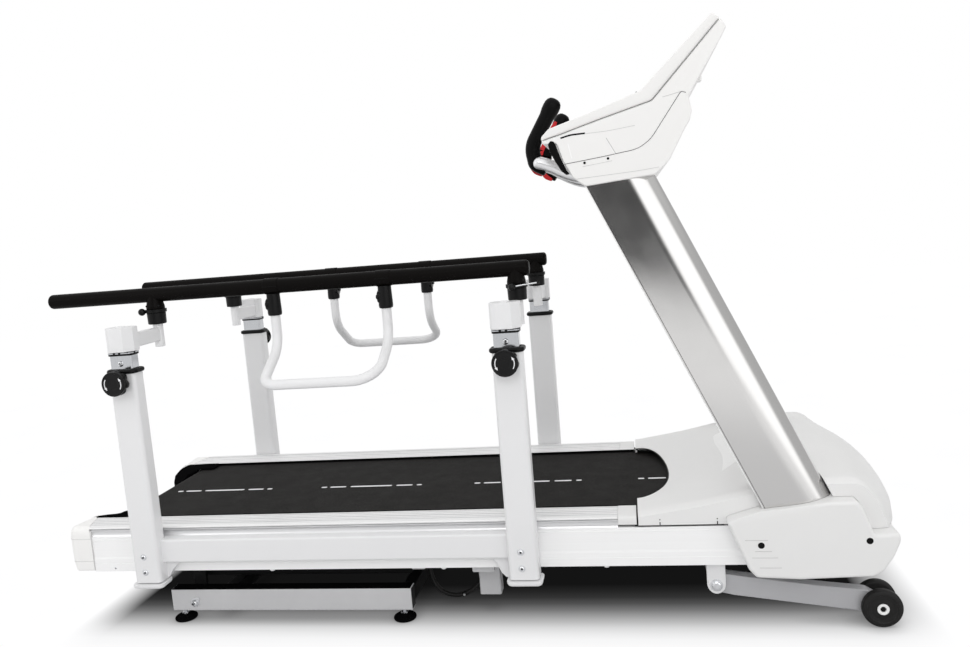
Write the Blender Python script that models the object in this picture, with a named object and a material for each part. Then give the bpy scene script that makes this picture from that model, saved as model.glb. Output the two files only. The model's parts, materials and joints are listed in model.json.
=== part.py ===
"""Rehabilitation treadmill with adjustable parallel handrails.

Metres, +Z up, +X towards the console. Lengths along the machine are written as
stations measured from the rear datum and shifted by X_REF, so the origin is on the
floor, midway along and across the machine.  The near side is -Y (side -1) and the
far side is +Y (side +1).
"""
import math
import bpy
import bmesh
from mathutils import Vector, Matrix

# ---------------------------------------------------------------- driving dimensions
X_REF = 1.1720            # station of the origin
GAP = 0.0004              # clearance between touching pieces

BELT_HALF = 0.277         # walking belt half width
BELT_THICK = 0.0025
ROLLER_R = 0.045
ROLLER_Z = 0.2525
REAR_ROLLER_S = 0.110
FRONT_ROLLER_S = 1.840
DECK_TOP = 0.2970
DECK_THICK = 0.0260

FRAME_Y0, FRAME_Y1 = 0.300, 0.360     # side tube of the frame
FRAME_Z0, FRAME_Z1 = 0.190, 0.250
RAIL_OUT = 0.381          # outer face of the side extrusion
RAIL_TOP = 0.311
RAIL_S0, RAIL_S1, PANEL_S1 = 0.0695, 1.664, 1.960

POST_S = (0.276, 1.363)   # stations of the rear and front posts
POST_Y = 0.4155
POST_W, POST_D = 0.080, 0.050
POST_Z0, POST_TOP = 0.165, 0.782
LIFT_W, LIFT_D = 0.0666, 0.0366
SLEEVE_Z0, SLEEVE_Z1 = 0.8335, 0.902
ARM_DX = 0.0143           # forward lead of the rail pins over the posts
RAIL_Y = 0.2504
HAND_R = 0.0217
HAND_Z = 0.9775
HAND_S0, HAND_S1 = -0.052, 1.416
STAR_Z, STAR_R = 0.752, 0.0328
HANDLE_S = (0.6646, 1.0002)
HANDLE_TUBE_R = 0.0140
HANDLE_OUT, HANDLE_BAR_Z = 0.1420, 0.7120

UPRIGHT_Y0, UPRIGHT_Y1 = 0.322, 0.400
COVER_Y0, COVER_Y1 = 0.300, 0.424
CONSOLE_HALF = 0.405

ARM_PIVOT = (1.861, 0.115)
ARM_AXLE = (2.268, 0.050)
WHEEL_R = 0.050
LEVER_DX, LEVER_DZ = -0.0239, 0.0658   # lever pin from the arm pivot, 70 mm long at 110 degrees
BASE_PIVOT = (0.353, 0.059)
BASE_S0, BASE_S1 = 0.280, 1.020
BASE_Z0, BASE_Z1 = 0.033, 0.100
FOOT_S = (0.306, 0.990)
FOOT_Y = 0.318

# ---------------------------------------------------------------- start clean
for old in list(bpy.data.objects):
    bpy.data.objects.remove(old, do_unlink=True)
COL = bpy.context.scene.collection


def X(s):
    return s - X_REF


# ---------------------------------------------------------------- materials
def material(name, color, rough, metal=0.0):
    m = bpy.data.materials.new(name)
    m.use_nodes = True
    b = m.node_tree.nodes["Principled BSDF"]
    b.inputs["Base Color"].default_value = (*color, 1.0)
    b.inputs["Roughness"].default_value = rough
    b.inputs["Metallic"].default_value = metal
    return m


FINISH = {
    "white_paint": ((0.82, 0.82, 0.82), 0.35, 0.0),
    "white_shell": ((0.80, 0.79, 0.78), 0.45, 0.0),
    "grey_paint": ((0.36, 0.36, 0.38), 0.40, 0.0),
    "aluminium": ((0.62, 0.61, 0.60), 0.32, 1.0),
    "chrome": ((0.75, 0.75, 0.75), 0.15, 1.0),
    "steel": ((0.45, 0.45, 0.46), 0.35, 1.0),
    "black_plastic": ((0.012, 0.012, 0.012), 0.40, 0.0),
    "grip_sleeve": ((0.035, 0.030, 0.028), 0.75, 0.0),
    "belt": ((0.035, 0.033, 0.031), 0.85, 0.0),
    "board": ((0.10, 0.07, 0.05), 0.60, 0.0),
    "rubber": ((0.010, 0.010, 0.010), 0.65, 0.0),
    "red": ((0.50, 0.01, 0.01), 0.40, 0.0),
}


# ---------------------------------------------------------------- mesh helpers
def obj_from_bm(name, bm, finish):
    bmesh.ops.remove_doubles(bm, verts=bm.verts, dist=1e-6)
    bmesh.ops.recalc_face_normals(bm, faces=bm.faces)
    me = bpy.data.meshes.new(name)
    bm.to_mesh(me)
    bm.free()
    if finish is not None:
        color, rough, metal = FINISH[finish]
        me.materials.append(material(name + "_finish", color, rough, metal))
    ob = bpy.data.objects.new(name, me)
    COL.objects.link(ob)
    return ob


def prism(name, pts, axis, lo, hi, finish=None, bevel=0.0, seg=2):
    """Extrude a closed outline. axis 'x' takes (y,z), 'y' takes (x,z), 'z' takes (x,y)."""
    lo, hi = min(lo, hi), max(lo, hi)
    bm = bmesh.new()

    def at(p, h):
        return {"x": (h, p[0], p[1]), "y": (p[0], h, p[1]), "z": (p[0], p[1], h)}[axis]

    a = [bm.verts.new(at(p, lo)) for p in pts]
    b = [bm.verts.new(at(p, hi)) for p in pts]
    bm.faces.new(a)
    bm.faces.new(list(reversed(b)))
    n = len(pts)
    for i in range(n):
        bm.faces.new((a[i], b[i], b[(i + 1) % n], a[(i + 1) % n]))
    bmesh.ops.recalc_face_normals(bm, faces=bm.faces)
    if bevel > 0:
        bmesh.ops.bevel(bm, geom=list(bm.edges), offset=bevel, segments=seg, profile=0.5,
                        affect="EDGES", clamp_overlap=True)
    return obj_from_bm(name, bm, finish)


def box(name, x0, x1, y0, y1, z0, z1, finish=None, bevel=0.0, seg=2):
    y0, y1 = min(y0, y1), max(y0, y1)
    return prism(name, [(x0, y0), (x1, y0), (x1, y1), (x0, y1)], "z", z0, z1, finish, bevel, seg)


def round_rect(cx, cy, w, h, r, n=4):
    pts = []
    for sx, sy, a0 in ((1, 1, 0), (-1, 1, 90), (-1, -1, 180), (1, -1, 270)):
        for i in range(n + 1):
            a = math.radians(a0 + 90.0 * i / n)
            pts.append((cx + sx * (w / 2 - r) + r * math.cos(a), cy + sy * (h / 2 - r) + r * math.sin(a)))
    return pts


def circle(cx, cy, r, n=20, a0=0.0):
    return [(cx + r * math.cos(a0 + 2 * math.pi * i / n), cy + r * math.sin(a0 + 2 * math.pi * i / n))
            for i in range(n)]


def lathe(name, profile, origin, axis, n=20, finish=None):
    """Turn (radius, height) points about an axis through origin. Radius 0 ends close the form."""
    named = {"x": (1, 0, 0), "y": (0, 1, 0), "z": (0, 0, 1), "-y": (0, -1, 0)}
    ax = Vector(named[axis] if isinstance(axis, str) else axis).normalized()
    ref = Vector((0, 0, 1)) if abs(ax.z) < 0.9 else Vector((1, 0, 0))
    u = ax.cross(ref).normalized()
    v = ax.cross(u).normalized()
    o = Vector(origin)
    bm = bmesh.new()
    rings = []
    for r, h in profile:
        if r <= 1e-9:
            rings.append([bm.verts.new(o + ax * h)])
        else:
            rings.append([bm.verts.new(o + ax * h + (u * math.cos(2 * math.pi * i / n) +
                                                    v * math.sin(2 * math.pi * i / n)) * r)
                          for i in range(n)])
    for k in range(len(rings) - 1):
        a, b = rings[k], rings[k + 1]
        for i in range(n):
            j = (i + 1) % n
            if len(a) == 1 and len(b) > 1:
                bm.faces.new((a[0], b[i], b[j]))
            elif len(b) == 1 and len(a) > 1:
                bm.faces.new((a[i], b[0], a[j]))
            elif len(a) > 1:
                bm.faces.new((a[i], b[i], b[j], a[j]))
    if len(rings[0]) > 1 and len(rings[-1]) > 1:
        if (profile[0][0] - profile[-1][0]) ** 2 + (profile[0][1] - profile[-1][1]) ** 2 < 1e-16:
            pass
        else:
            bm.faces.new(rings[0])
            bm.faces.new(rings[-1])
    elif len(rings[0]) > 1:
        bm.faces.new(rings[0])
    elif len(rings[-1]) > 1:
        bm.faces.new(rings[-1])
    return obj_from_bm(name, bm, finish)


def fillet_path(ctrl, radii, step=0.25):
    """Polyline with filleted corners; step is the turn in radians between points."""
    pts = [Vector(ctrl[0])]
    for i in range(1, len(ctrl) - 1):
        p, a, b = Vector(ctrl[i]), Vector(ctrl[i - 1]), Vector(ctrl[i + 1])
        d0, d1 = (a - p).normalized(), (b - p).normalized()
        ang = math.acos(max(-1.0, min(1.0, d0.dot(d1))))
        r = radii[i - 1]
        turn = math.pi - ang
        if r <= 0 or turn < 1e-3:
            pts.append(p)
            continue
        t = r / math.tan(ang / 2)
        s, e = p + d0 * t, p + d1 * t
        bis = (d0 + d1).normalized()
        c = p + bis * (r / math.sin(ang / 2))
        n = max(2, int(math.ceil(turn / step)))
        vs, ve = (s - c), (e - c)
        axis = vs.cross(ve).normalized()
        for k in range(n + 1):
            pts.append(c + Matrix.Rotation(turn * k / n, 3, axis) @ vs)
    pts.append(Vector(ctrl[-1]))
    return pts


def tube(name, pts, r, n=12, finish=None, radii=None):
    bm = bmesh.new()
    pts = [Vector(p) for p in pts]
    tang = []
    for i, p in enumerate(pts):
        a = pts[max(0, i - 1)]
        b = pts[min(len(pts) - 1, i + 1)]
        if 0 < i < len(pts) - 1:
            t = ((p - a).normalized() + (b - p).normalized()).normalized()
        else:
            t = (b - a).normalized()
        tang.append(t)
    ref = Vector((0, 0, 1)) if abs(tang[0].z) < 0.9 else Vector((1, 0, 0))
    nrm = tang[0].cross(ref).normalized()
    rings = []
    for i, p in enumerate(pts):
        if i:
            q = tang[i - 1].rotation_difference(tang[i])
            nrm = (q @ nrm).normalized()
        bn = tang[i].cross(nrm).normalized()
        rr = radii[i] if radii else r
        rings.append([bm.verts.new(p + (nrm * math.cos(2 * math.pi * k / n) +
                                        bn * math.sin(2 * math.pi * k / n)) * rr) for k in range(n)])
    for a, b in zip(rings, rings[1:]):
        for k in range(n):
            bm.faces.new((a[k], b[k], b[(k + 1) % n], a[(k + 1) % n]))
    bm.faces.new(rings[0])
    bm.faces.new(rings[-1])
    return obj_from_bm(name, bm, finish)


def boolean(a, b, op="UNION", solver="EXACT"):
    mod = a.modifiers.new("cut", "BOOLEAN")
    mod.operation = op
    mod.solver = solver
    mod.object = b
    dg = bpy.context.evaluated_depsgraph_get()
    dg.update()
    me = bpy.data.meshes.new_from_object(a.evaluated_get(dg))
    a.modifiers.clear()
    old = a.data
    mats = list(old.materials)
    me.name = old.name
    a.data = me
    if not len(me.materials):
        for m in mats:
            me.materials.append(m)
    bpy.data.meshes.remove(old)
    data = b.data
    bpy.data.objects.remove(b, do_unlink=True)
    if data.users == 0:
        bpy.data.meshes.remove(data)
    return a


def join(a, *rest):
    for b in rest:
        boolean(a, b, "UNION")
    return a


def cut(a, *rest):
    for b in rest:
        boolean(a, b, "DIFFERENCE")
    return a


def finish_obj(ob, origin=None, parent=None, smooth=None):
    me = ob.data
    if me.materials:
        keep = me.materials[0]
        me.materials.clear()
        me.materials.append(keep)
    if origin is not None:
        o = Vector(origin)
        me.transform(Matrix.Translation(-o))
        ob.location = o
    if parent is not None:
        ob.parent = parent
        ob.location = Vector(origin if origin is not None else (0, 0, 0)) - WORLD[parent.name]
    WORLD[ob.name] = Vector(origin if origin is not None else (0, 0, 0))
    if smooth is not None:
        me.shade_smooth()
        me.set_sharp_from_angle(angle=math.radians(smooth))
    return ob


WORLD = {}


def side_name(side):
    return "near" if side < 0 else "far"


END = ("rear", "front")

# ---------------------------------------------------------------- main frame
def build_frame():
    f = box("main_frame", X(0.150), X(2.200), -FRAME_Y1, -FRAME_Y0, FRAME_Z0, FRAME_Z1, "white_paint")
    parts = [box("t", X(0.150), X(2.200), FRAME_Y0, FRAME_Y1, FRAME_Z0, FRAME_Z1)]
    z1 = DECK_TOP - DECK_THICK - GAP
    for s in (0.200, 0.600, 1.000, 1.400, 1.700):
        parts.append(box("t", X(s), X(s + 0.050), -0.305, 0.305, 0.2155, z1))
    # low cross tube with the leg that ends the cable, and the rear cable outlet tube
    parts.append(box("t", X(1.206), X(1.268), -0.352, 0.352, 0.150, 0.195))
    parts.append(box("t", X(1.206), X(1.268), -0.272, -0.226, 0.048, 0.160))
    parts.append(box("t", X(1.032), X(1.072), -0.352, 0.352, 0.160, 0.195))
    # front cross plate and motor shelf
    parts.append(box("t", X(2.150), X(2.198), -0.305, 0.305, 0.165, 0.215))
    parts.append(box("t", X(1.930), X(2.160), -0.305, -0.035, 0.1905, 0.1965))
    for side in (-1, 1):
        # bearing plates that carry the two roller axles
        parts.append(box("t", X(0.084), X(0.185), side * 0.2880, side * 0.3020, 0.2050, 0.2750))
        parts.append(box("t", X(1.800), X(1.880), side * 0.2880, side * 0.3020, 0.2050, 0.2750))
        # rear pivot lugs
        parts.append(box("t", X(0.333), X(0.373), side * 0.2965, side * 0.306, 0.180, 0.245))
        pts = [(X(0.333), 0.200), (X(0.373), 0.200)] + \
              [(X(BASE_PIVOT[0]) + 0.020 * math.cos(a), BASE_PIVOT[1] + 0.020 * math.sin(a))
               for a in [math.radians(-180 * k / 8) for k in range(9)]]
        parts.append(prism("t", pts, "y", side * 0.286, side * 0.2975))
        # front lift arm lugs
        px, pz = X(ARM_PIVOT[0]), ARM_PIVOT[1]
        pts = [(px - 0.024, 0.195), (px + 0.024, 0.195)] + \
              [(px + 0.024 * math.cos(a), pz + 0.024 * math.sin(a) * 1.15)
               for a in [math.radians(-180 * k / 10) for k in range(11)]]
        parts.append(prism("t", pts, "y", side * 0.3515, side * 0.3595))
    join(f, *parts)
    for side in (-1, 1):
        cut(f, prism("c", circle(X(BASE_PIVOT[0]), BASE_PIVOT[1], 0.0076, 16), "y", side * 0.270, side * 0.2990))
        cut(f, prism("c", circle(X(ARM_PIVOT[0]), ARM_PIVOT[1], 0.0086, 16), "y", side * 0.345, side * 0.366))
        for s in (REAR_ROLLER_S, FRONT_ROLLER_S):
            cut(f, prism("c", circle(X(s), ROLLER_Z, 0.0107, 16), "y", side * 0.2700, side * 0.2990))
    return finish_obj(f)


def build_belt_group():
    belt_r = ROLLER_R + 0.0003
    out_r = belt_r + BELT_THICK

    def loop(r, n=16):
        pts = []
        for k in range(n + 1):
            a = math.radians(90 + 180 * k / n)
            pts.append((X(REAR_ROLLER_S) + r * math.cos(a), ROLLER_Z + r * math.sin(a)))
        for k in range(n + 1):
            a = math.radians(-90 + 180 * k / n)
            pts.append((X(FRONT_ROLLER_S) + r * math.cos(a), ROLLER_Z + r * math.sin(a)))
        return pts

    bm = bmesh.new()
    o, i = loop(out_r), loop(belt_r)
    rows = []
    for y in (-BELT_HALF, BELT_HALF):
        rows.append([bm.verts.new((p[0], y, p[1])) for p in o])
        rows.append([bm.verts.new((p[0], y, p[1])) for p in i])
    n = len(o)
    for k in range(n):
        j = (k + 1) % n
        bm.faces.new((rows[0][k], rows[0][j], rows[2][j], rows[2][k]))
        bm.faces.new((rows[1][k], rows[3][k], rows[3][j], rows[1][j]))
        bm.faces.new((rows[0][k], rows[1][k], rows[1][j], rows[0][j]))
        bm.faces.new((rows[2][k], rows[2][j], rows[3][j], rows[3][k]))
    belt = obj_from_bm("walking_belt", bm, "belt")
    finish_obj(belt, smooth=35)
    deck = box("deck_board", X(0.172), X(1.778), -0.278, 0.278, DECK_TOP - DECK_THICK, DECK_TOP, "board")
    finish_obj(deck)
    for name, s in (("rear_roller", REAR_ROLLER_S), ("front_roller", FRONT_ROLLER_S)):
        end = 0.2975
        prof = [(0, -end), (0.010, -end), (0.010, -0.2800), (ROLLER_R, -0.2800), (ROLLER_R, 0.2800),
                (0.010, 0.2800), (0.010, end), (0, end)]
        r = lathe(name, prof, (X(s), 0, ROLLER_Z), "y", 24, "steel")
        finish_obj(r, origin=(X(s), 0, ROLLER_Z), smooth=40)


def build_side_rails():
    for side in (-1, 1):
        y = lambda v: side * v
        top = [(y(0.2815), 0.3005), (y(0.2815), 0.3065), (y(0.3650), RAIL_TOP), (y(0.3760), RAIL_TOP - 0.0005),
               (y(0.3800), 0.3070), (y(RAIL_OUT), 0.3020), (y(0.3800), 0.2960), (y(0.3770), 0.2915),
               (y(0.3690), 0.2900), (y(0.3690), 0.3005)]
        a = prism("foot_rail_" + side_name(side), top, "x", X(RAIL_S0), X(RAIL_S1), "aluminium")
        skirt = [(y(0.3640), 0.2835), (y(0.3790), 0.2835), (y(0.3790), 0.2170), (y(0.3805), 0.2140),
                 (y(0.3805), 0.1755), (y(0.3615), 0.1755), (y(0.3615), 0.1815), (y(0.3640), 0.1840)]
        b = prism("t", skirt, "x", X(RAIL_S0), X(PANEL_S1))
        neck = box("t", X(RAIL_S0) + 0.001, X(RAIL_S1) - 0.001, y(0.3650), y(0.3720), 0.2800, 0.3010)
        join(a, b, neck)
        finish_obj(a, smooth=30)


def build_rear_caps():
    for side in (-1, 1):
        y = lambda v: side * v
        # plan outline: side block, rounded outer corner and a tongue behind the belt
        plan = [(X(0.0685), y(0.3820)), (X(0.0685), y(0.3020)), (X(0.0520), y(0.2700)), (X(0.0560), y(0.1650)),
                (X(0.0460), y(0.1505)), (X(0.0300), y(0.1520)), (X(0.0200), y(0.1700)), (X(0.0115), y(0.1900)),
                (X(0.0045), y(0.2060)), (X(0.0035), y(0.2440)), (X(-0.0010), y(0.2620)), (X(-0.0030), y(0.2900))]
        for k in range(7):
            a = math.radians(90 * k / 6)
            plan.append((X(0.0145 - 0.0200 * math.cos(a)), y(0.3620 + 0.0200 * math.sin(a))))
        body = prism("rear_cap_" + side_name(side), plan, "z", 0.178, 0.3145, "white_shell")
        # the end bulges a little: its foot and head are drawn in, and its inner back is hollow for the bearing
        slope = [(X(-0.03), 0.17), (X(0.0160), 0.17), (X(0.0035), 0.200), (X(-0.0045), 0.245), (X(-0.0020), 0.300),
                 (X(0.0040), 0.311), (X(0.0140), 0.33), (X(-0.03), 0.33)]
        cut(body, prism("c", slope, "y", -0.5, 0.5))
        # the tongue behind the belt falls away inboard
        fall = [(y(0.2850), 0.3400), (y(0.2850), 0.3115), (y(0.2060), 0.2900), (y(0.1700), 0.2805), (y(0.1400), 0.2790),
                (y(0.1400), 0.3400)]
        cut(body, prism("c", fall, "x", X(-0.05), X(0.10)))
        cut(body, box("c", X(0.0500), X(0.0800), y(0.2950), y(0.3720), 0.170, 0.300))
        finish_obj(body, smooth=35)


# ---------------------------------------------------------------- posts and handrails
def build_stands():
    for side in (-1, 1):
        y = lambda v: side * v
        st = None
        for s in POST_S:
            p = prism("t", round_rect(X(s), y(POST_Y), POST_W, POST_D, 0.010, 3), "z", POST_Z0, POST_TOP)
            cx = X(s)
            ring = prism("t", round_rect(cx, y(POST_Y), POST_W + 0.013, POST_D + 0.013, 0.015, 3), "z",
                         POST_TOP - 0.009, POST_TOP + 0.004)
            shoe = prism("t", round_rect(cx + 0.001, y(0.4185), 0.102, 0.068, 0.012, 3), "z", 0.149, 0.170)
            back = box("t", cx - 0.048, cx + 0.050, y(0.3818), y(0.3960), 0.155, 0.262)
            join(p, ring, shoe, back)
            if st is None:
                st = p
            else:
                join(st, p)
        beam = box("t", X(POST_S[0]), X(POST_S[1]), y(0.3830), y(0.4180), 0.2150, 0.2830)
        st.name = "rail_stand_" + side_name(side)
        st.data.materials.clear()
        color, rough, metal = FINISH["white_paint"]
        st.data.materials.append(material(st.name + "_finish", color, rough, metal))
        join(st, beam)
        for s in POST_S:
            cut(st, prism("c", round_rect(X(s), y(POST_Y), LIFT_W + 0.0014, LIFT_D + 0.0014, 0.0047, 2), "z",
                          0.330, 0.830))
            cut(st, prism("c", circle(X(s), STAR_Z, 0.0066, 12), "y", y(0.4300), y(0.4460)))
        finish_obj(st, smooth=25)


def build_rail_side(side):
    y = lambda v: side * v
    sn = side_name(side)
    lifts = []
    for e, s in zip(END, POST_S):
        cx = X(s)
        t = prism("lift_tube_%s_%s" % (e, sn), round_rect(cx, y(POST_Y), LIFT_W, LIFT_D, 0.004, 2), "z",
                  0.420, 0.8250, "aluminium")
        join(t, prism("t", round_rect(cx, y(POST_Y), 0.0740, 0.0530, 0.012, 2), "z", 0.8235, 0.8330))
        join(t, prism("t", circle(cx, y(POST_Y), 0.0160, 18), "z", 0.820, 0.8935))
        finish_obj(t, origin=(cx, y(POST_Y), 0.825), smooth=30)
        lifts.append(t)
    arms = []
    for e, s, lift in zip(END, POST_S, lifts):
        cx, px = X(s), X(s) + ARM_DX
        # sleeve outline: rounded outer corner at the rear, chamfer at the front, drawn in to the arm
        out = [(cx - 0.020, 0.029), (cx - 0.034, 0.022), (cx - 0.0395, 0.008), (cx - 0.0395, -0.018),
               (cx - 0.030, -0.029), (cx + 0.030, -0.029), (cx + 0.0395, -0.020), (cx + 0.0395, 0.006),
               (cx + 0.020, 0.029)]
        sleeve = prism("swing_arm_%s_%s" % (e, sn), [(p[0], y(POST_Y + p[1])) for p in out], "z",
                       SLEEVE_Z0, SLEEVE_Z1, "white_paint")
        bar = [(cx - 0.006, y(POST_Y - 0.020)), (cx + 0.028, y(POST_Y - 0.020)), (px + 0.010, y(RAIL_Y)),
               (px - 0.010, y(RAIL_Y))]
        pin = lathe("t", [(0, 0.8225), (0.0145, 0.8225), (0.0145, 0.8900), (0.0135, 0.8900), (0.0135, 0.9460),
                          (0, 0.9460)], (px, y(RAIL_Y), 0), "z", 16)
        join(sleeve, prism("t", bar, "z", 0.8400, 0.8810), pin)
        cut(sleeve, prism("c", circle(cx, y(POST_Y), 0.0167, 18), "z", 0.820, 0.8945))
        finish_obj(sleeve, origin=(cx, y(POST_Y), SLEEVE_Z0), parent=lift, smooth=30)
        arms.append(sleeve)
    # handrail: sleeve covered tube with two sockets that stand on the arms' pins
    prof = [(0, X(HAND_S0))]
    for k in range(4):
        a = math.radians(90 * k / 3)
        prof.append((HAND_R - 0.010 + 0.010 * math.sin(a), X(HAND_S0) + 0.010 - 0.010 * math.cos(a)))
    for k in range(4):
        a = math.radians(90 * (3 - k) / 3)
        prof.append((HAND_R - 0.010 + 0.010 * math.sin(a), X(HAND_S1) - 0.010 + 0.010 * math.cos(a)))
    prof.append((0, X(HAND_S1)))
    rail = lathe("handrail_" + sn, prof, (0, y(RAIL_Y), HAND_Z), "x", 16, "grip_sleeve")
    pins = [X(s) + ARM_DX for s in POST_S]
    for px in pins:
        sock = lathe("t", [(0, HAND_Z + 0.003), (0.0205, HAND_Z - 0.004), (0.0262, 0.9420), (0.0262, 0.9350),
                           (0.0240, 0.9350), (0.0240, 0.9240), (0.0270, 0.9240), (0.0262, 0.8905),
                           (0, 0.8905)], (px, y(RAIL_Y), 0), "z", 16)
        join(rail, sock)
    for px in pins:
        cut(rail, prism("c", circle(px, y(RAIL_Y), 0.0142, 14), "z", 0.880, 0.9480))
    finish_obj(rail, origin=(pins[0], y(RAIL_Y), HAND_Z), parent=arms[0], smooth=35)
    # locking levers round the sockets
    for e, px in zip(END, pins):
        ring = lathe("rail_lever_%s_%s" % (e, sn),
                     [(0.0250, 0.9245), (0.0305, 0.9245), (0.0305, 0.9345), (0.0250, 0.9345), (0.0250, 0.9245)],
                     (px, y(RAIL_Y), 0), "z", 16, "black_plastic")
        d = Vector((-0.80, 0.60 * side, 0)).normalized() if e == "rear" else Vector((-0.20, 0.98 * side, 0)).normalized()
        a = Vector((px, y(RAIL_Y), 0.9295)) + d * 0.0275
        b = Vector((px, y(RAIL_Y), 0.9295)) + d * 0.0440
        arm = tube("t", [a, b], 0.0036, 6)
        ball = lathe("t", [(0, -0.0108)] + [(0.0108 * math.sin(math.radians(180 * k / 5)),
                                             -0.0108 * math.cos(math.radians(180 * k / 5))) for k in range(1, 5)]
                     + [(0, 0.0108)], b, "z", 9)
        join(ring, arm, ball)
        finish_obj(ring, origin=(px, y(RAIL_Y), 0.9295), parent=rail, smooth=35)
    # swinging hand loop clamped round the rail
    path = fillet_path([(X(HANDLE_S[0]), y(RAIL_Y), 0.906), (X(HANDLE_S[0]), y(RAIL_Y), 0.800),
                        (X(HANDLE_S[0]) + 0.002, y(RAIL_Y + HANDLE_OUT), HANDLE_BAR_Z),
                        (X(HANDLE_S[1]) - 0.002, y(RAIL_Y + HANDLE_OUT), HANDLE_BAR_Z),
                        (X(HANDLE_S[1]), y(RAIL_Y), 0.800), (X(HANDLE_S[1]), y(RAIL_Y), 0.906)],
                       [0.085, 0.040, 0.075, 0.085], 0.42)
    loop = tube("u_handle_" + sn, path, HANDLE_TUBE_R, 10, "white_paint")
    for s in HANDLE_S:
        cx = X(s)
        stem = lathe("t", [(0, 0.9570), (0.0192, 0.9570), (0.0205, 0.9000), (0.0195, 0.8935), (0, 0.8925)],
                     (cx, y(RAIL_Y), 0), "z", 16)
        band = lathe("t", [(0, -0.0217), (0.0287, -0.0217), (0.0287, 0.0217), (0, 0.0217)],
                     (cx, y(RAIL_Y), HAND_Z), "x", 20)
        join(band, stem)
        cut(band, lathe("c", [(0, -0.05), (HAND_R + 0.0006, -0.05), (HAND_R + 0.0006, 0.05), (0, 0.05)],
                        (cx, y(RAIL_Y), HAND_Z), "x", 18))
        cut(band, prism("c", circle(y(RAIL_Y), 0.9250, 0.0066, 10, 0.1), "x", cx + side * 0.0350, cx + side * 0.0158))
        join(loop, band)
    finish_obj(loop, origin=(X(HANDLE_S[0]), y(RAIL_Y), HAND_Z), parent=rail, smooth=35)
    for e, s in zip(END, HANDLE_S):
        # clamp knob: a lobed head on a short screw that points along the rail
        bm = bmesh.new()
        lobes, n = 6, 18
        base = Vector((X(s) + side * 0.0210, y(RAIL_Y), 0.9250))
        layers = [(0.0060, 0.0048), (0.0060, -0.0010), (0.0190, -0.0035), (0.0195, -0.0130), (0.0130, -0.0180)]
        rings = []
        for r, h in layers:
            ring = []
            for k in range(n):
                a = 2 * math.pi * k / n
                rr = r * (1.0 - (0.10 * (0.5 - 0.5 * math.cos(lobes * a)) if r > 0.012 else 0.0))
                ring.append(bm.verts.new(base + Vector((-side * h, rr * math.cos(a), rr * math.sin(a)))))
            rings.append(ring)
        for a, b in zip(rings, rings[1:]):
            for k in range(n):
                bm.faces.new((a[k], b[k], b[(k + 1) % n], a[(k + 1) % n]))
        bm.faces.new(rings[0])
        bm.faces.new(rings[-1])
        kn = obj_from_bm("u_knob_%s_%s" % (e, sn), bm, "black_plastic")
        finish_obj(kn, origin=base, parent=loop, smooth=40)
    # star knobs that lock the telescopic tubes
    for e, s in zip(END, POST_S):
        bm = bmesh.new()
        n, lobes = 21, 7
        base = Vector((X(s), y(0.4350), STAR_Z))
        layers = [(0.0060, 0.0000), (0.0060, 0.0115), (0.0315, 0.0150), (0.0372, 0.0270),
                  (0.0372, 0.0440), (0.0340, 0.0500)]
        rings = []
        for i, (r, h) in enumerate(layers):
            ring = []
            for k in range(n):
                a = 2 * math.pi * k / n
                deep = 0.10 if 2 <= i <= 3 else 0.0
                rr = r * (1.0 - deep * (0.5 - 0.5 * math.cos(lobes * a)))
                ring.append(bm.verts.new(base + Vector((rr * math.cos(a), side * h, rr * math.sin(a)))))
            rings.append(ring)
        for a, b in zip(rings, rings[1:]):
            for k in range(n):
                bm.faces.new((a[k], b[k], b[(k + 1) % n], a[(k + 1) % n]))
        bm.faces.new(rings[0])
        bm.faces.new(rings[-1])
        kn = obj_from_bm("star_knob_%s_%s" % (e, sn), bm, "black_plastic")
        finish_obj(kn, origin=base, smooth=40)


# ---------------------------------------------------------------- uprights, covers, hood
UP_DIR = Vector((-0.4205, 0.0, 0.9073))
UP_NRM = Vector((0.9073, 0.0, 0.4205))
UP_BASE = Vector((X(1.9895), 0.0, 0.3150))     # on the rear edge
UP_WIDTH = 0.1640


def upright_profile(grow=0.0):
    """Outline across the upright: (distance forward from the rear edge, y)."""
    g = grow
    y0, y1, w = UPRIGHT_Y0 - g, UPRIGHT_Y1 + g, UP_WIDTH
    pts = [(-g, y0), (-g, y1), (w - 0.060, y1)]
    for k in range(1, 7):
        a = math.radians(90 * k / 6)
        pts.append((w - 0.060 + (0.060 + g) * math.sin(a), y1 - (0.052 + g) + (0.052 + g) * math.cos(a)))
    pts.append((w + g, y0))
    return pts


def upright_solid(name, side, z0, z1, grow=0.0, finish=None):
    bm = bmesh.new()
    lo, hi = [], []
    for w, yy in upright_profile(grow):
        p = UP_BASE + UP_NRM * w
        for z, arr in ((z0, lo), (z1, hi)):
            t = (z - p.z) / UP_DIR.z
            q = p + UP_DIR * t
            arr.append(bm.verts.new((q.x, side * yy, z)))
    n = len(lo)
    bm.faces.new(lo)
    bm.faces.new(list(reversed(hi)))
    for k in range(n):
        bm.faces.new((lo[k], hi[k], hi[(k + 1) % n], lo[(k + 1) % n]))
    return obj_from_bm(name, bm, finish)


COVER_OUT = [(1.889, 0.3050), (1.930, 0.3190), (1.972, 0.3310), (2.060, 0.3400), (2.140, 0.3520), (2.203, 0.3520),
             (2.216, 0.3350), (2.239, 0.2780), (2.300, 0.2740), (2.302, 0.2480), (2.285, 0.2080), (2.262, 0.1740),
             (2.238, 0.1580), (2.062, 0.1515), (1.956, 0.1570), (1.938, 0.1780), (1.914, 0.2400)]


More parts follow.
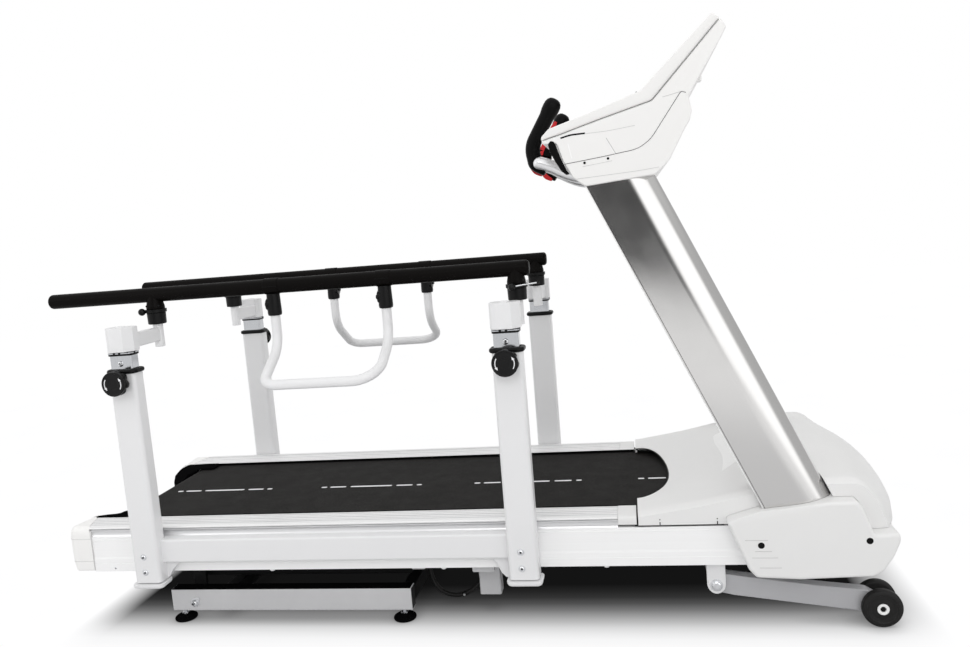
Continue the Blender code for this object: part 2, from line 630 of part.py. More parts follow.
def inset_poly(pts, d):
    """Inset (d > 0) or outset a closed outline by d, for an outline of either sense."""
    area = sum(pts[i][0] * pts[(i + 1) % len(pts)][1] - pts[(i + 1) % len(pts)][0] * pts[i][1]
               for i in range(len(pts)))
    sg = 1.0 if area > 0 else -1.0
    out = []
    n = len(pts)
    for i in range(n):
        a, b, c = Vector(pts[i - 1]), Vector(pts[i]), Vector(pts[(i + 1) % n])
        e0, e1 = (b - a).normalized(), (c - b).normalized()
        n0, n1 = Vector((-e0.y, e0.x)) * sg, Vector((-e1.y, e1.x)) * sg
        m = (n0 + n1).normalized()
        out.append(tuple(b + m * (d / max(0.35, m.dot(n0)))))
    return out


def cover_poly():
    return [(X(p[0]), p[1]) for p in COVER_OUT]


def build_uprights_and_covers():
    for side in (-1, 1):
        y = lambda v: side * v
        sn = side_name(side)
        up = upright_solid("upright_" + sn, side, 0.2505, 1.2350, 0.0, "aluminium")
        finish_obj(up, smooth=25)
        c = prism("upright_cover_" + sn, cover_poly(), "y", y(COVER_Y0), y(COVER_Y1), "white_shell")
        cut(c, prism("c", inset_poly(cover_poly(), 0.0045), "y", y(0.290), y(COVER_Y1 - 0.0045)))
        cut(c, upright_solid("c", side, 0.2300, 0.4200, 0.0012))
        # room for the end of the side skirt, the side tube and the front cross member
        cut(c, box("c", X(1.850), X(PANEL_S1) + 0.001, y(0.3500), y(0.3815), 0.1700, 0.2870))
        cut(c, box("c", X(1.850), X(2.2025), y(0.2900), y(0.3612), 0.1885, 0.2512))
        cut(c, box("c", X(2.1450), X(2.2025), y(0.2900), y(0.3070), 0.1630, 0.2200))
        finish_obj(c, smooth=25)


def ramp(s, table):
    """Smooth value through a table of (station, value) pairs."""
    if s <= table[0][0]:
        return table[0][1]
    for (s0, v0), (s1, v1) in zip(table, table[1:]):
        if s <= s1:
            return v0 + (v1 - v0) * (s - s0) / (s1 - s0)
    return table[-1][1]


HOOD_SHOULDER = [(1.668, 0.320), (1.750, 0.333), (1.830, 0.346), (1.950, 0.372), (2.050, 0.388), (2.140, 0.397),
                 (2.300, 0.397)]
HOOD_CROWN = [(1.668, 0.3070), (1.765, 0.3110), (1.820, 0.3300), (1.900, 0.3640), (2.000, 0.4010), (2.090, 0.4190),
              (2.300, 0.4240)]


def hood_height(s, yy):
    """Top surface of the motor hood: low apron at the rear, crown, raised shoulders, rounded nose."""
    ay = abs(yy)
    t = min(1.0, ay / 0.345)
    blend = t * t * (3 - 2 * t)
    z = ramp(s, HOOD_CROWN) * (1 - blend) + ramp(s, HOOD_SHOULDER) * blend
    edge = max(0.0, (ay - 0.360) / 0.0205)
    z -= 0.012 * edge * edge
    nose = 2.382 - 0.60 * ay * ay
    span = 0.215 - 0.110 * (ay / 0.36) ** 2
    t = (nose - s) / span
    if t < 1.0:
        t = max(0.0, t)
        z = 0.165 + (z - 0.165) * math.sqrt(max(0.0, 1.0 - (1.0 - t) ** 2))
    return z


def hood_grid(off):
    stations = [1.668, 1.720, 1.765, 1.820, 1.900, 1.990, 2.080, 2.160, 2.220, 2.270, 2.312, 2.340, 2.362, 2.376]
    half = 0.3805 - off
    across = [-1.0, -0.955, -0.88, -0.72, -0.50, -0.25, 0.0, 0.25, 0.50, 0.72, 0.88, 0.955, 1.0]
    rows = []
    for s in stations:
        row = []
        for v in across:
            yy = half * v
            nose = 2.382 - 0.60 * yy * yy
            sx = s + off if s < 1.67 else s
            if s > 1.9:
                sx = 1.9 + (s - 1.9) * (nose - off - 1.9) / (2.376 - 1.9)
            row.append((sx, yy, hood_height(sx + (off if s > 2.3 else 0.0), yy) - off))
        rows.append(row)
    return rows


def hood_block(name, off, zb, finish=None):
    rows = hood_grid(off)
    bm = bmesh.new()
    top = [[bm.verts.new((X(p[0]), p[1], max(p[2], zb + 0.002))) for p in row] for row in rows]
    bot = [[bm.verts.new((X(p[0]), p[1], zb)) for p in row] for row in rows]
    ni, nj = len(rows), len(rows[0])
    for i in range(ni - 1):
        for j in range(nj - 1):
            bm.faces.new((top[i][j], top[i + 1][j], top[i + 1][j + 1], top[i][j + 1]))
            bm.faces.new((bot[i][j], bot[i][j + 1], bot[i + 1][j + 1], bot[i + 1][j]))
    for i in range(ni - 1):
        for j in (0, nj - 1):
            bm.faces.new((top[i][j], bot[i][j], bot[i + 1][j], top[i + 1][j]))
    for j in range(nj - 1):
        for i in (0, ni - 1):
            bm.faces.new((top[i][j], top[i][j + 1], bot[i][j + 1], bot[i][j]))
    return obj_from_bm(name, bm, finish)


def build_hood():
    h = hood_block("motor_hood", 0.0, 0.160, "white_shell")
    inner = hood_block("c", 0.0045, 0.150)
    cut(h, inner)
    # below the belt plane only the front wall goes down
    cut(h, box("c", X(1.600), X(2.180), -0.45, 0.45, 0.100, 0.2862))
    # room for the belt and for the ends of the foot rails
    cut(h, box("c", X(1.600), X(1.920), -0.2900, 0.2900, 0.1000, 0.3040))
    # arch over the belt
    arch = [(X(1.600), -0.256), (X(1.672), -0.256)]
    for k in range(15):
        a = math.radians(-90 + 180 * k / 14)
        arch.append((X(1.672 + 0.0935 * math.cos(a)), 0.256 * math.sin(a)))
    arch += [(X(1.672), 0.256), (X(1.600), 0.256)]
    pts = [arch[0]] + arch[2:-2] + [arch[-1]]
    cut(h, prism("c", pts, "z", 0.250, 0.60))
    for side in (-1, 1):
        cut(h, upright_solid("c", side, 0.1500, 0.6500, 0.0025))
    for side in (-1, 1):
        y = lambda v: side * v
        cut(h, prism("c", inset_poly(cover_poly(), -0.0008), "y", y(COVER_Y0 - 0.0008), y(0.60)))
    finish_obj(h, smooth=30)


def build_drive():
    m = lathe("drive_motor", [(0, -0.2450), (0.0140, -0.2450), (0.0140, -0.2300), (0.0580, -0.2300),
                              (0.0650, -0.2200), (0.0650, -0.0600), (0.0580, -0.0480), (0.0120, -0.0480),
                              (0.0120, -0.0200), (0, -0.0200)], (X(2.045), 0, 0.2700), "y", 22, "steel")
    join(m, box("t", X(2.005), X(2.085), -0.210, -0.070, 0.1972, 0.230))
    finish_obj(m, smooth=35)


# ---------------------------------------------------------------- console
TOP_SEAM = [(1.4870, 1.2975), (1.5360, 1.3095), (1.6370, 1.3370), (1.7640, 1.3690), (1.9340, 1.5450)]
TOP_FACE = [(1.9160, 1.5600), (1.7380, 1.3960), (1.6130, 1.3560), (1.5630, 1.3420), (1.5070, 1.3260),
            (1.4880, 1.3080)]
BODY_LOW = [(1.9480, 1.5230), (1.9290, 1.4900), (1.8880, 1.4270), (1.8520, 1.3700), (1.8580, 1.3360),
            (1.8520, 1.3130), (1.8370, 1.2900), (1.7990, 1.2220), (1.7790, 1.2040), (1.7620, 1.1900),
            (1.5890, 1.1760), (1.5610, 1.2000), (1.5390, 1.2410), (1.5250, 1.2880), (1.4920, 1.2880)]


def scaled_y_prism(name, pts, half, taper, finish=None, centre=1.45):
    """Extrude across the machine with both end faces drawn in a little."""
    cx = sum(p[0] for p in pts) / len(pts)
    cz = sum(p[1] for p in pts) / len(pts)
    bm = bmesh.new()
    rings = []
    for yy, k in ((-half, 1.0 - taper), (-half + 0.012, 1.0), (half - 0.012, 1.0), (half, 1.0 - taper)):
        rings.append([bm.verts.new((cx + (p[0] - cx) * k, yy, cz + (p[1] - cz) * k)) for p in pts])
    n = len(pts)
    bm.faces.new(rings[0])
    bm.faces.new(rings[-1])
    for a, b in zip(rings, rings[1:]):
        for k in range(n):
            bm.faces.new((a[k], b[k], b[(k + 1) % n], a[(k + 1) % n]))
    return obj_from_bm(name, bm, finish)


def handlebar_path(side):
    g = 0.178
    return [(X(1.600), side * 0.100, 1.1985), (X(1.560), side * 0.150, 1.1990), (X(1.500), side * g, 1.2260),
            (X(1.4470), side * g, 1.2560), (X(1.4390), side * g, 1.3060), (X(1.5020), side * g, 1.4080)]


def build_console():
    seam = [(X(p[0]), p[1]) for p in TOP_SEAM]
    face = [(X(p[0]), p[1]) for p in TOP_FACE]
    low = [(X(p[0]), p[1]) for p in BODY_LOW]
    lift = [(p[0] - 0.0003, p[1] + 0.0006) for p in seam]
    top_pts = lift + face
    body_pts = seam + low
    top = scaled_y_prism("console_top", top_pts, CONSOLE_HALF - 0.004, 0.03, "white_shell")
    inner = inset_poly(top_pts, 0.0050)
    # hollow from below: push the seam side of the inner outline out through the joint
    k = len(lift)
    hollow = [(inner[i][0] + 0.012, inner[i][1] - 0.030) if i < k else inner[i] for i in range(len(inner))]
    cut(top, prism("c", hollow, "y", -CONSOLE_HALF + 0.020, CONSOLE_HALF - 0.020))
    body = scaled_y_prism("console_body", body_pts, CONSOLE_HALF, 0.03, "white_shell")
    inner = inset_poly(body_pts, 0.0060)
    hollow = [(inner[i][0] - 0.012, inner[i][1] + 0.030) if i < len(seam) else inner[i] for i in range(len(inner))]
    cut(body, prism("c", hollow, "y", -CONSOLE_HALF + 0.022, CONSOLE_HALF - 0.022))
    for side in (-1, 1):
        cut(body, upright_solid("c", side, 1.1000, 1.2362, 0.0010))
    # one bent tube with both ends turned up
    near, far = handlebar_path(-1), handlebar_path(1)
    ctrl = list(reversed(near)) + far
    path = fillet_path(ctrl, [0.060, 0.030, 0.050, 0.050, 0.030, 0.030, 0.050, 0.050, 0.030, 0.060], 0.42)
    fat = tube("c", path, 0.0180, 12)
    cut(body, fat)
    # stop button well in the face
    bx, bz = X(1.5850), 1.3482
    nrm = Vector((-0.26, 0, 0.966)).normalized()
    cut(top, lathe("c", [(0, -0.030), (0.0172, -0.030), (0.0172, 0.020), (0, 0.020)], (bx, 0, bz), nrm, 24))
    finish_obj(body, smooth=28)
    finish_obj(top, smooth=28)
    bar = tube("handlebar", path, 0.0168, 12, "chrome")
    longer = [path[0] + (path[0] - path[1]).normalized() * 0.0008] + path[1:-1] + \
             [path[-1] + (path[-1] - path[-2]).normalized() * 0.0008]
    finish_obj(bar, smooth=40)
    btn = lathe("stop_button", [(0, -0.0180), (0.0165, -0.0180), (0.0165, 0.0070), (0.0225, 0.0076),
                                (0.0225, 0.0130), (0.0180, 0.0165), (0, 0.0175)], (bx, 0, bz), nrm, 24, "red")
    finish_obj(btn, origin=(bx, 0, bz), smooth=35)
    for side in (-1, 1):
        y = lambda v: side * v
        sn = side_name(side)
        line = fillet_path([(X(1.4780), y(0.178), 1.2390), (X(1.4470), y(0.178), 1.2560),
                            (X(1.4390), y(0.178), 1.3060), (X(1.5035), y(0.178), 1.4110)], [0.030, 0.060], 0.30)
        line = line[2:]
        # the grip is a sleeve over the tube with a bulb at its top
        last = line[-1]
        d = (line[-1] - line[-2]).normalized()
        pts = line[:-1] + [last - d * 0.026, last - d * 0.010, last + d * 0.010, last + d * 0.020]
        rad = [0.0195] + [0.0208] * (len(pts) - 5) + [0.0208, 0.0237, 0.0228, 0.0120]
        grip = tube("grip_" + sn, pts, 0.02, 14, "grip_sleeve", radii=rad)
        cut(grip, tube("c", longer, 0.0174, 12))
        # long thumb switch let into the inboard side of the grip, following its bend
        full = fillet_path([(X(1.4900), y(0.178), 1.2325), (X(1.4470), y(0.178), 1.2560),
                            (X(1.4390), y(0.178), 1.3060), (X(1.5035), y(0.178), 1.4110)], [0.030, 0.060], 0.30)
        full = [full[0].lerp(full[1], 0.25)] + full[1:-1] + [full[-1] - d * 0.012]
        mid = []
        for i, q in enumerate(full):
            tn = (full[min(len(full) - 1, i + 1)] - full[max(0, i - 1)]).normalized()
            mid.append(q - Vector((tn.z, 0, -tn.x)) * 0.0125)

        def strip(name, lo, hi, w, extra, fin=None):
            run = [mid[0] - (mid[1] - mid[0]).normalized() * extra] + mid[1:-1] + [mid[-1] + d * extra]
            left, right = [], []
            for i, q in enumerate(run):
                a, b = run[max(0, i - 1)], run[min(len(run) - 1, i + 1)]
                tn = (b - a).normalized()
                nn = Vector((tn.z, 0, -tn.x))
                left.append((q.x + nn.x * w, q.z + nn.z * w))
                right.append((q.x - nn.x * w, q.z - nn.z * w))
            return prism(name, left + list(reversed(right)), "y", y(lo), y(hi), fin)
        cut(grip, strip("c", 0.1400, 0.1606, 0.0106, 0.0006))
        finish_obj(grip, smooth=40)
        sw = strip("speed_switch" if side < 0 else "incline_switch", 0.1545, 0.1592, 0.0100, 0.0, "red")
        finish_obj(sw, origin=(mid[len(mid) // 2].x, y(0.1592), mid[len(mid) // 2].z), smooth=40)


# ---------------------------------------------------------------- base, feet, lift, wheels, cable
def build_base():
    b = None
    for side in (-1, 1):
        t = box("t", X(BASE_S0), X(BASE_S1), side * 0.3005, side * 0.3400, BASE_Z0, BASE_Z1)
        b = t if b is None else join(b, t)
    b.name = "rear_base"
    b.data.materials.clear()
    b.data.materials.append(material("rear_base_finish", FINISH["grey_paint"][0], FINISH["grey_paint"][1]))
    join(b, box("t", X(0.415), X(0.455), -0.305, 0.305, BASE_Z0 + 0.005, BASE_Z1 - 0.020))
    join(b, box("t", X(0.975), X(1.015), -0.305, 0.305, BASE_Z0 + 0.005, BASE_Z1 - 0.020))
    for side in (-1, 1):
        join(b, prism("t", circle(X(BASE_PIVOT[0]), BASE_PIVOT[1], 0.0070, 16), "y", side * 0.2870, side * 0.3050))
        for s in FOOT_S:
            cut(b, prism("c", circle(X(s), side * FOOT_Y, 0.0066, 14), "z", BASE_Z0 - 0.010, BASE_Z0 + 0.040))
    finish_obj(b, origin=(X(BASE_PIVOT[0]), 0, BASE_PIVOT[1]))
    for e, s in zip(END, FOOT_S):
        for side in (-1, 1):
            f = lathe("foot_%s_%s" % (e, side_name(side)),
                      [(0, 0.0), (0.0320, 0.0), (0.0330, 0.0060), (0.0190, 0.0135),
                       (0.0060, 0.0155), (0.0060, 0.0560), (0, 0.0560)],
                      (X(s), side * FOOT_Y, 0), "z", 18, "rubber")
            finish_obj(f, origin=(X(s), side * FOOT_Y, 0.033), parent=b, smooth=35)
    return b


def build_lift():
    px, pz = X(ARM_PIVOT[0]), ARM_PIVOT[1]
    ax, az = X(ARM_AXLE[0]), ARM_AXLE[1]
    arm = None
    for side in (-1, 1):
        pts = [(px - 0.020, pz - 0.010), (px - 0.006, pz - 0.024), (px + 0.045, pz - 0.036), (px + 0.360, pz - 0.080),
               (ax - 0.004, az - 0.018), (ax + 0.012, az - 0.014), (ax + 0.018, az), (ax + 0.012, az + 0.014),
               (ax - 0.030, az + 0.041), (px + 0.260, pz - 0.011), (px + 0.010, pz + 0.024), (px - 0.014, pz + 0.018)]
        t = prism("t", pts, "y", side * 0.3160, side * 0.3500)
        arm = t if arm is None else arm
        if t is not arm:
            join(arm, t)
        if side < 0:
            join(arm, prism("t", circle(px, pz, 0.0190, 18), "y", -0.3300, 0.3300))
            join(arm, box("t", px + 0.170, px + 0.200, -0.3300, 0.3300, pz - 0.048, pz - 0.020))
            lev = [(px - 0.012, pz), (px + 0.012, pz), (px + LEVER_DX + 0.0085, pz + LEVER_DZ + 0.003),
                   (px + LEVER_DX, pz + LEVER_DZ + 0.0085), (px + LEVER_DX - 0.0085, pz + LEVER_DZ)]
            join(arm, prism("t", lev, "y", -0.0050, 0.0050))
            join(arm, prism("t", circle(px + LEVER_DX, pz + LEVER_DZ, 0.0050, 12), "y", -0.0140, 0.0140))
    for side in (-1, 1):
        join(arm, prism("t", circle(px, pz, 0.0080, 16), "y", side * 0.3450, side * 0.3590))
        cut(arm, prism("c", circle(ax, az, 0.0086, 16), "y", side * 0.3000, side * 0.3600))
    arm.name = "front_lift_arm"
    arm.data.materials.clear()
    arm.data.materials.append(material("front_lift_arm_finish", FINISH["grey_paint"][0], 0.4))
    finish_obj(arm, origin=(px, 0, pz), smooth=30)
    for side in (-1, 1):
        y = lambda v: side * v
        # two discs on one axle, one on each side of the arm
        prof = [(0, 0.2920), (0.0440, 0.2905), (WHEEL_R, 0.2970), (WHEEL_R, 0.3090), (0.0440, 0.3150),
                (0.0080, 0.3150), (0.0080, 0.3512), (0.0440, 0.3512), (WHEEL_R, 0.3570), (WHEEL_R, 0.3690),
                (0.0440, 0.3755), (0, 0.3740)]
        w = lathe("wheel_" + side_name(side), [(r, h) for r, h in prof], (ax, 0, az), "y" if side > 0 else "-y", 24,
                  "rubber")
        finish_obj(w, origin=(ax, y(0.333), az), parent=arm, smooth=35)
    # electric lift: a fixed tube on the front cross member and a screw rod that pulls the lever
    tz = pz + LEVER_DZ
    act = lathe("lift_actuator", [(0.0108, -0.1400), (0.0210, -0.1400), (0.0210, 0.0), (0.0300, 0.0), (0.0300, 0.050),
                                  (0.0270, 0.0550), (0.0, 0.0550), (0.0, 0.0100), (0.0108, 0.0100),
                                  (0.0108, -0.1400)], (X(2.094), 0, tz), "x", 18, "steel")
    finish_obj(act, smooth=35)
    rod = lathe("lift_rod", [(0, -0.2280), (0.0085, -0.2280), (0.0085, -0.0400), (0, -0.0400)],
                (X(2.090), 0, tz), "x", 16, "chrome")
    lx = px + LEVER_DX
    for yy in (-0.0105, 0.0105):
        join(rod, prism("t", round_rect(lx, tz, 0.036, 0.028, 0.007, 2), "y", yy - 0.0035, yy + 0.0035))
    join(rod, box("t", lx + 0.0157, X(2.090) - 0.2100, -0.0140, 0.0140, tz - 0.0085, tz + 0.0085))
    cut(rod, prism("c", round_rect(lx, tz + 0.002, 0.0116, 0.0190, 0.0056, 3), "y", -0.030, 0.030))
    finish_obj(rod, origin=(lx, 0, tz), smooth=35)


def build_cable():
    # control lead hanging between its outlet under the rear cross tube and the leg of the low cross tube
    ys = -0.205
    a = [(X(1.052), ys, 0.1590), (X(1.050), ys, 0.1450), (X(1.046), ys, 0.1220), (X(1.047), ys - 0.004, 0.0960),
         (X(1.056), ys - 0.008, 0.0640), (X(1.073), ys - 0.010, 0.0400), (X(1.097), ys - 0.010, 0.0255),
         (X(1.125), ys - 0.010, 0.0215), (X(1.153), ys - 0.010, 0.0280), (X(1.181), ys - 0.010, 0.0450),
         (X(1.204), ys - 0.008, 0.0690), (X(1.219), ys - 0.004, 0.0970), (X(1.226), ys, 0.1230),
         (X(1.228), ys, 0.1350), (X(1.228), ys, 0.1495)]
    # smooth the route with a centripetal style interpolation
    pts = [Vector(p) for p in a]
    out = []
    for i in range(len(pts) - 1):
        p0, p1, p2, p3 = pts[max(0, i - 1)], pts[i], pts[i + 1], pts[min(len(pts) - 1, i + 2)]
        for k in range(2):
            t = k / 2.0
            out.append(0.5 * ((2 * p1) + (p2 - p0) * t + (2 * p0 - 5 * p1 + 4 * p2 - p3) * t * t +
                              (3 * p1 - p0 - 3 * p2 + p3) * t ** 3))
    out.append(pts[-1])
    c = tube("cable_loop", out, 0.0070, 8, "black_plastic")
    finish_obj(c, smooth=60)


build_frame()
build_belt_group()
build_side_rails()
build_rear_caps()
build_stands()
build_rail_side(-1)
build_rail_side(1)
build_uprights_and_covers()
build_hood()
build_drive()
build_console()
build_base()
build_lift()
build_cable()
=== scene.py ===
"""Looks of the rehabilitation treadmill: fine shells, tubes, trims, fasteners and finishes round the fixed frame."""
import json
import math
import bpy
import bmesh
from mathutils import Vector, Matrix

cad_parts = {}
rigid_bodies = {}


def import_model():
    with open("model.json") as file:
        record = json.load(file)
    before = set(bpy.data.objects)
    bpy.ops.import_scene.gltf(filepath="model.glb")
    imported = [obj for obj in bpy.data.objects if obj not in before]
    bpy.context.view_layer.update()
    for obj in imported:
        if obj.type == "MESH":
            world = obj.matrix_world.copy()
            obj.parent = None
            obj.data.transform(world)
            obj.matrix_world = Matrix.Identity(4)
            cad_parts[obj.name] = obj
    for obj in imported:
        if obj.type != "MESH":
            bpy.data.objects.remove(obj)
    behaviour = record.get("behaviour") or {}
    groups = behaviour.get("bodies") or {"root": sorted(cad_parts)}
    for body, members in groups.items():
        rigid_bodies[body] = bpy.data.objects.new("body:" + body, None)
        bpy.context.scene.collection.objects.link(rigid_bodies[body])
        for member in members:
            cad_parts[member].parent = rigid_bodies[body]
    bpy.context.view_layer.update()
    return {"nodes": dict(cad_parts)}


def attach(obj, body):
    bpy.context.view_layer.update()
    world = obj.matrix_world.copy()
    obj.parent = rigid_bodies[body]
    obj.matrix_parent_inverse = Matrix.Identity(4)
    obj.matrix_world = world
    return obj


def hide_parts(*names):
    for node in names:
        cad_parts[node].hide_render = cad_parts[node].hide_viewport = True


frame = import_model()
COL = bpy.context.scene.collection
NODES = frame["nodes"]

X_REF = 1.1720


def X(s):
    return s - X_REF


def side_name(side):
    return "near" if side < 0 else "far"


ROOT = "treadmill_frame"
END = ("rear", "front")
POST_S = (0.276, 1.363)
POST_Y = 0.4155
RAIL_Y = 0.2504
ARM_DX = 0.0143
HAND_R = 0.0217
HAND_Z = 0.9775
HAND_S0, HAND_S1 = -0.052, 1.416
STAR_Z = 0.752
HANDLE_S = (0.6646, 1.0002)
ROLLER_Z = 0.2525
ARM_PIVOT = (1.861, 0.115)
ARM_AXLE = (2.268, 0.050)
BASE_PIVOT = (0.353, 0.059)

# ------------------------------------------------------------------ camera
cam_data = bpy.data.cameras.new("camera")
cam_data.lens = 31.07
cam_data.sensor_width = 36.0
cam_data.clip_start, cam_data.clip_end = 0.05, 80.0
cam = bpy.data.objects.new("camera", cam_data)
COL.objects.link(cam)
yaw, pitch, roll = -0.1763, 0.1119, -0.0818
fw = Vector((math.sin(yaw) * math.cos(pitch), math.cos(yaw) * math.cos(pitch), -math.sin(pitch)))
rt = Vector((math.cos(yaw), -math.sin(yaw), 0.0))
upv = rt.cross(fw)
r2 = math.cos(roll) * rt + math.sin(roll) * upv
u2 = -math.sin(roll) * rt + math.cos(roll) * upv
cam.matrix_world = Matrix.Translation(Vector((0.5152, -2.535, 1.0909))) @ Matrix((r2, u2, -fw)).transposed().to_4x4()
bpy.context.scene.camera = cam


# ------------------------------------------------------------------ materials
def _math(N, L, op, a, b=None, c=None):
    n = N.new("ShaderNodeMath")
    n.operation = op
    for i, v in enumerate((a, b, c)):
        if v is None:
            continue
        if hasattr(v, "is_linked"):
            L.new(v, n.inputs[i])
        else:
            n.inputs[i].default_value = v
    return n.outputs[0]


def _range(N, L, v, a, b, c, d):
    n = N.new("ShaderNodeMapRange")
    L.new(v, n.inputs["Value"])
    n.inputs["From Min"].default_value = a
    n.inputs["From Max"].default_value = b
    n.inputs["To Min"].default_value = c
    n.inputs["To Max"].default_value = d
    return n.outputs["Result"]


def _noise(N, L, vec, scale, detail=3.0, rough=0.55):
    n = N.new("ShaderNodeTexNoise")
    n.inputs["Scale"].default_value = scale
    n.inputs["Detail"].default_value = detail
    n.inputs["Roughness"].default_value = rough
    L.new(vec, n.inputs["Vector"])
    return n.outputs["Fac"]


def _mix(N, L, fac, a, b, blend="MIX"):
    n = N.new("ShaderNodeMix")
    n.data_type = "RGBA"
    n.blend_type = blend
    if hasattr(fac, "is_linked"):
        L.new(fac, n.inputs[0])
    else:
        n.inputs[0].default_value = fac
    for i, v in ((6, a), (7, b)):
        if hasattr(v, "is_linked"):
            L.new(v, n.inputs[i])
        else:
            n.inputs[i].default_value = (*v, 1.0)
    return n.outputs[2]


def scaled(c, k):
    return tuple(min(1.0, v * k) for v in c)


def surface(name, base, rough, metal=0.0, vary=0.03, blotch=5.0, grain=900.0, bump=0.05, depth=0.00015, rvar=0.05,
            streak=None, sbump=0.0, coat=0.0, edge=0.0, dust=0.0, weave=0.0, spec=None, aniso=0.0, fleck=0.0):
    """A worn, grained finish. streak=(rx, ry, rz, sx, sy, sz) turns then scales the noise into drawn lines."""
    m = bpy.data.materials.new(name)
    m.use_nodes = True
    N, L = m.node_tree.nodes, m.node_tree.links
    b = N["Principled BSDF"]
    tc = N.new("ShaderNodeTexCoord").outputs["Object"]
    big = _noise(N, L, tc, blotch, 3.0)
    tone = _range(N, L, big, 0.30, 0.70, 0.0, 1.0)
    col = _mix(N, L, tone, scaled(base, 1.0 - vary), scaled(base, 1.0 + vary))
    mid = _noise(N, L, tc, blotch * 9.0, 4.0)
    rg = _range(N, L, mid, 0.30, 0.70, rough - rvar, rough + rvar)
    fine = _noise(N, L, tc, grain, 2.0)
    height = fine
    if streak:
        rot = N.new("ShaderNodeMapping")
        rot.inputs["Rotation"].default_value = streak[:3]
        L.new(tc, rot.inputs["Vector"])
        sc = N.new("ShaderNodeMapping")
        sc.inputs["Scale"].default_value = streak[3:6]
        L.new(rot.outputs["Vector"], sc.inputs["Vector"])
        lines = _noise(N, L, sc.outputs["Vector"], 1.0, 4.0, 0.65)
        col = _mix(N, L, _range(N, L, lines, 0.30, 0.70, 0.0, 1.0), scaled(base, 1.0 - vary * 1.6),
                   scaled(base, 1.0 + vary * 1.6))
        rg = _math(N, L, "ADD", rg, _range(N, L, lines, 0.30, 0.70, -rvar, rvar))
        height = _math(N, L, "ADD", _math(N, L, "MULTIPLY", fine, 1.0 - sbump), _math(N, L, "MULTIPLY", lines, sbump))
    if weave:
        sep = N.new("ShaderNodeSeparateXYZ")
        L.new(tc, sep.inputs[0])
        wx = _math(N, L, "SINE", _math(N, L, "MULTIPLY", sep.outputs[0], weave))
        wy = _math(N, L, "SINE", _math(N, L, "MULTIPLY", sep.outputs[1], weave))
        cell = _math(N, L, "MULTIPLY", wx, wy)
        height = _math(N, L, "ADD", _math(N, L, "MULTIPLY", cell, 0.25), fine)
    if fleck:
        speck = _noise(N, L, tc, 190.0, 2.0, 0.7)
        col = _mix(N, L, _range(N, L, speck, 0.51, 0.68, 0.0, fleck), col, scaled(base, 2.9))
        speck2 = _noise(N, L, tc, 330.0, 2.0, 0.7)
        col = _mix(N, L, _range(N, L, speck2, 0.52, 0.70, 0.0, fleck), col, scaled(base, 0.4))
    if dust:
        cloud = _noise(N, L, tc, 2.3, 5.0, 0.65)
        col = _mix(N, L, _range(N, L, cloud, 0.50, 0.85, 0.0, dust), col, (0.30, 0.29, 0.27))
    if edge:
        geo = N.new("ShaderNodeNewGeometry")
        worn = _range(N, L, geo.outputs["Pointiness"], 0.53, 0.62, 0.0, edge)
        worn = _math(N, L, "MULTIPLY", worn, _range(N, L, mid, 0.45, 0.60, 0.0, 1.0))
        col = _mix(N, L, worn, col, scaled(base, 1.9))
    L.new(col, b.inputs["Base Color"])
    L.new(rg, b.inputs["Roughness"])
    b.inputs["Metallic"].default_value = metal
    if coat:
        b.inputs["Coat Weight"].default_value = coat
        b.inputs["Coat Roughness"].default_value = 0.18
    if spec is not None:
        b.inputs["Specular IOR Level"].default_value = spec
    if aniso:
        b.inputs["Anisotropic"].default_value = aniso
    bp = N.new("ShaderNodeBump")
    bp.inputs["Strength"].default_value = bump
    bp.inputs["Distance"].default_value = depth
    L.new(height, bp.inputs["Height"])
    L.new(bp.outputs["Normal"], b.inputs["Normal"])
    return m


